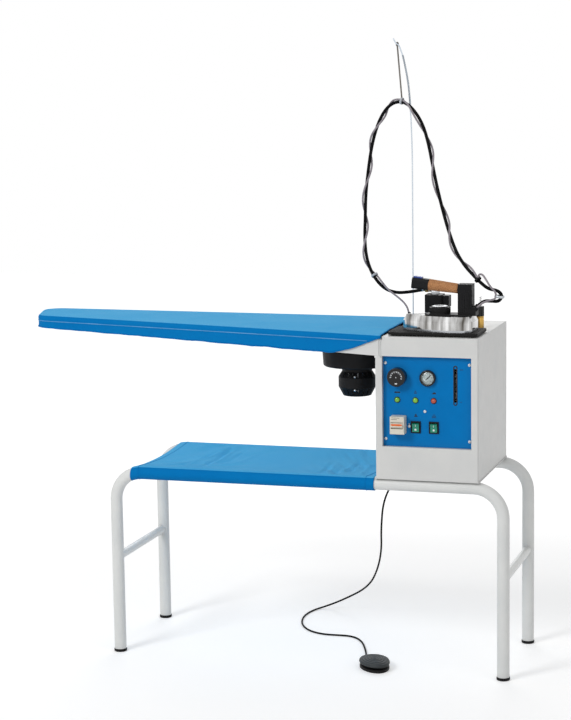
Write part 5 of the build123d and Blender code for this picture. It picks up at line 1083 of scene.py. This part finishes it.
printFront("panelSymbols", panel["face"], symbols, "glossBlack", lift=0.00015)

# lamps sit in dark rings, two plain screws in the panel
for name, x in (("lampRingLeft", heater), ("lampRingMiddle", ready), ("lampRingRight", steam)):
    ringOn(name, (x, panel["lampRings"], panel["lampRow"]), forward, 0.0066, 0.0078, 0.0016, "glossBlack")
for name, x, z in (("panelStudMiddle", 0.479, 0.680), ("panelStudBreaker", 0.4375, 0.6475)):
    lathe(name, (x, -0.1762, z), forward, [(0.0001, 0.0012), (0.0014, 0.0009), (0.002, 0.0), (0.002, -0.0006)],
          "screwSteel", 20)
# dark crosses on the panel's corner screws: painted shade standing for the cross recesses
crossShades = [shape for x in panel["screwX"] for z in panel["screwZ"]
           for shape in bars(x, z, [(-1.7, -0.6, 1.7, 0.6, 0.7), (-0.6, 1.7, 0.6, -1.7, 0.7)])]
printFront("screwCrossShade", panel["screwFace"], crossShades, "matRubber")

# marks on the rockers, the breaker and the water level's window
for name, node, x, body in (("boilerMarks", "boiler_rocker", boilerX, "boiler_key"),
                            ("fanMarks", "fan_rocker", fanX, "fan_key")):
    printFront(name, node, [bar(x, 0.6422, x, 0.6472, 0.0012), disc(x, 0.6345, 0.0026, 14)], "printWhite", body)
breaker = {"left": 0.3985, "stripe": 0.6775, "lines": 0.6705, "ring": (0.4045, 0.6185), "text": (0.410, 0.615),
           "blade": ((0.3982, 0.0020), (0.4000, 0.0028), (0.4250, 0.0028), (0.4268, 0.0020)),
           "bladeY": -0.2073, "bladeZ": 0.6488, "bladeFlat": 0.4}
stripe = bars(breaker["left"], breaker["stripe"], [(0, 0, 28, 0, 2.2)])
printFront("breakerStripe", "breaker_body", stripe, "tealPlastic")
greyMarks = bars(breaker["left"], breaker["lines"], [(0, -4 * k, 28 - 7 * k, -4 * k, 1.2) for k in range(3)])
greyMarks.append(arcs(*breaker["ring"], 0.003, 0, 350, 0.0008))
greyMarks += bars(*breaker["text"], [(0, 3.5, 15.5, 3.5, 1), (0, 0, 10.5, 0, 1), (0, 7, 13.5, 7, 1)])
printFront("breakerMarks", "breaker_body", greyMarks, "strapGrey")
level = {"x": 0.5565, "low": 0.7035, "high": 0.7935, "half": 0.0040, "width": 0.0028, "shadeSheetDepth": -0.1575,
         "corners": ((0.547, 0.694), (0.566, 0.694), (0.566, 0.803), (0.547, 0.803))}
levelShapes = [bar(level["x"] + side, level["low"], level["x"] + side, level["high"], level["width"])
               for side in (-level["half"], level["half"])]
levelShapes += [arcs(level["x"], level["high"], level["half"], 0, 180, level["width"]),
                arcs(level["x"], level["low"], level["half"], 180, 360, level["width"])]
printFront("levelRim", panel["face"], levelShapes, "glossBlack")
blade = breaker["blade"]
sweepPiece("leverBlade", [Vector((x, breaker["bladeY"], breaker["bladeZ"])) for x, radius in blade], blade[1][1], 14,
           "orangePlastic", "lever", radii=[radius for x, radius in blade], flat=breaker["bladeFlat"], facing=upward)
# a black sheet inside the cabinet behind the level window: painted shade for the dark inside
printFront("levelShadeSheet", level["shadeSheetDepth"], [level["corners"]], "matRubber", lift=0.0006)
print("panel details done")


# ---- ribs: rows of short rounded strips, all in one piece
def ribsOn(name, strips, radius, finish, body="table"):
    ribs = [sweep(name, [Vector(p) for p in strip], radius, 8) for strip in strips]
    addObject(name, joined(name, ribs), finish, body)


mat = {"first": 0.3865, "step": 0.0062, "count": 36}
teeth = [mat["first"] + mat["step"] * k for k in range(mat["count"])]
toothSide = ((-0.1721, 0.8702), (-0.1724, 0.874), (-0.1721, 0.878))
ribsOn("matTeeth", [[(x, y, z) for y, z in toothSide] for x in teeth], 0.0009, "matRubber")
ribsOn("matRidges", [[(x + 0.0015, y, 0.8792) for y in (-0.168, -0.056)] for x in teeth], 0.0007, "matRubber")
grip = {"first": 0.5705, "step": 0.0042, "count": 6, "heights": range(934, 986, 6)}
handleRibs = []
for k in range(grip["count"]):
    x = grip["first"] + grip["step"] * k
    hits = [faceOf("iron_handle", (x, -1, z / 1000), (0, 1, 0)) for z in grip["heights"]]
    handleRibs.append([hit for hit in hits if hit is not None])
ribsOn("handleRibs", [strip for strip in handleRibs if len(strip) > 3], 0.0008, "blackPlastic", "iron")
dial = {"x": 0.5025, "y": -0.108, "ribs": 40, "low": 0.9238, "middle": 0.930, "high": 0.937, "face": 0.9394}
dialRibs = []
for k in range(dial["ribs"]):
    side = Vector((cos(tau * k / dial["ribs"]), sin(tau * k / dial["ribs"]), 0))
    hit = faceOf("iron_dial", Vector((dial["x"], dial["y"], dial["middle"])) + side * 0.06, -side)
    if hit is not None:
        dialRibs.append([(hit.x, hit.y, dial["low"]), (hit.x, hit.y, dial["high"])])
ribsOn("dialRibs", dialRibs, 0.0009, "blackPlastic", "dial")
ringOn("dialFace", (dial["x"], dial["y"], dial["face"]), upward, 0.0105, 0.0190, 0.0012, "stainless", 40, "dial")
finHeights = [0.9425 + 0.0042 * k for k in range(6)]
ribsOn("rearFins", [[(0.606, -0.1164, z), (0.606, -0.098, z)] for z in finHeights], 0.0009, "blackPlastic", "iron")

# spring round the antenna's upper end
antenna = {"springStart": 1.42, "pitch": 0.0021, "perTurn": 8, "radius": 0.0023, "wire": 0.0006,
           "route": millimetres([(359.5, 196, 645), (359.5, 196, 1330), (353.5, 196, 1462), (345, 196, 1524),
                                 (335, 196, 1566)])}
springBase = [p for p in readPath("antennaRoute", antenna["route"], 24) if p.z > antenna["springStart"]]
springSums = pathLengths(springBase)
springSteps = int(springSums[-1] / antenna["pitch"]) * antenna["perTurn"]
springPath = []
for k in range(springSteps + 1):
    turn = tau * k / antenna["perTurn"]
    middle = onPath(springBase, springSums, springSums[-1] * k / springSteps)[0]
    springPath.append(middle + Vector((cos(turn), sin(turn), 0)) * antenna["radius"])
sweepPiece("antennaSpring", springPath, antenna["wire"], 5, "springSteel")

# ---- fittings at the cords' ends
ringOn("outletNut", hosePath[0] + Vector((-0.004, 0, 0)), (1, 0, 0), 0.0043, 0.0078, 0.009, "brass", 6)
ringOn("outletClamp", hosePath[0] + Vector((-0.014, 0, 0)), (1, 0.09, 0), 0.0043, 0.0056, 0.007, "screwSteel", 24)
# distance from the cord's end and outer radius of each collar
boot = {"inner": 0.0024, "width": 0.0034, "cable": ((0.004, 0.0052), (0.009, 0.0045), (0.014, 0.0038)),
        "pedal": ((-0.009, 0.0044), (-0.014, 0.0044), (-0.019, 0.0044))}


def bootsOn(kind, start, along):
    return [ringOn(kind + "Boot" + str(k), start + along * far, along, boot["inner"], outer, boot["width"],
                   "hoseRubber", 20) for k, (far, outer) in enumerate(boot[kind])]


cableExtras = bootsOn("cable", cablePath[0], Vector(upward))
pedalExtras = bootsOn("pedal", pedalPath[-1], (pedalPath[-1] - pedalPath[-6]).normalized())
ringOn("hoseClip", (0.6545, -0.1105, 0.9665), (0.1, 0, 1), 0.0112, 0.0125, 0.006, "galvanised", body="iron")
for name, z in (("coverScrewUpper", 0.742), ("coverScrewLower", 0.707)):
    lathe(name, (0.2625, -0.0484, z), (0.14, -1, 0),
          [(0.0001, 0.0024), (0.0026, 0.0018), (0.0034, 0.0), (0.0034, -0.002)], "screwSteel", 20)

# ---- foot pedal, foot caps, rear screws and the board's seal
# the profiles hold (share of the oval's size, height) pairs
pedal = {"centre": (0.3375, -0.1545), "long": (0.5, -0.866), "halfLength": 0.0545, "halfWidth": 0.0385,
         "narrowing": 0.10, "sides": 72, "ridge": 0.0008, "ridges": 5, "tread": 0.92, "treadRows": 60,
         "treadHeight": 0.0226, "dome": 0.0048,
         "base": [(0.90, 0.0), (0.96, 0.0008), (0.97, 0.0030), (0.94, 0.0038), (0.94, 0.0044), (0.97, 0.0052),
                  (0.96, 0.0070), (0.90, 0.0078), (0.5, 0.0080)],
         "rim": [(0.88, 0.0138), (0.97, 0.0142), (1.0, 0.0165), (0.985, 0.0195), (0.94, 0.0222)]}


def ovalForm(name, profile, finish, body):
    along = Vector(pedal["long"])
    across = Vector((-along.y, along.x))
    rows = []
    for share, height in profile:
        row = []
        for k in range(pedal["sides"]):
            angle = tau * k / pedal["sides"]
            width = pedal["halfWidth"] * (1 - pedal["narrowing"] * cos(angle))
            flat = along * cos(angle) * pedal["halfLength"] + across * sin(angle) * width
            row.append((*(Vector(pedal["centre"]) + flat * share), height))
        rows.append(row)
    return skin(name, rows, finish, body, capped=True)


treadle = list(pedal["rim"])
for k in range(pedal["treadRows"] + 1):
    part = 1 - k / pedal["treadRows"]
    dome = pedal["treadHeight"] + pedal["dome"] * (1 - part ** 2)
    treadle.append((max(pedal["tread"] * part, 0.01), dome + pedal["ridge"] * sin(tau * pedal["ridges"] * part)))
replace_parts(ovalForm("pedalBody", pedal["base"], "blackPlastic", "table"), "pedal_base")
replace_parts(ovalForm("pedalTread", treadle, "treadRubber", "treadle"), "pedal_top")
lathe("pedalPivot", (0.3175, -0.1204, 0.0108), (0.866, 0.5, 0),
      [(0.0001, -0.026), (0.0030, -0.026), (0.0037, -0.0252), (0.0037, 0.0252), (0.0030, 0.026), (0.0001, 0.026)],
      "blackPlastic", 20)
capProfile = [(0.0001, 0.0), (0.0150, 0.0), (0.0166, 0.0008), (0.0172, 0.0020), (0.0172, 0.0072), (0.0166, 0.0080),
              (0.0161, 0.0080)]
for k, spot in enumerate(((-0.3615, -0.171, 0), (-0.3615, 0.171, 0), (0.6765, -0.171, 0), (0.6765, 0.171, 0))):
    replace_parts(lathe("footCap" + str(k), spot, upward, capProfile, "blackPlastic", 40), "foot_caps")
screwSpots = [(x, 0.1731, z) for x in (0.362, 0.608) for z in (0.518, 0.685, 0.852)]
for k, spot in enumerate(screwSpots):
    lathe("rearScrew" + str(k), spot, (0, 1, 0), [(0.0001, 0.0018), (0.0026, 0.0014), (0.0038, 0.0), (0.0038, -0.0008)],
          "screwSteel", 20)
sweepPiece("boardSeal", [Vector((0.3666, -0.1858, 0.8172 + 0.0058 * k)) for k in range(9)], 0.0026, 12, "framePaint")
print("small parts done")

# ---- the hose's and the cable's placings baked into their meshes
for piece in (hose, cable):
    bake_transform(piece)
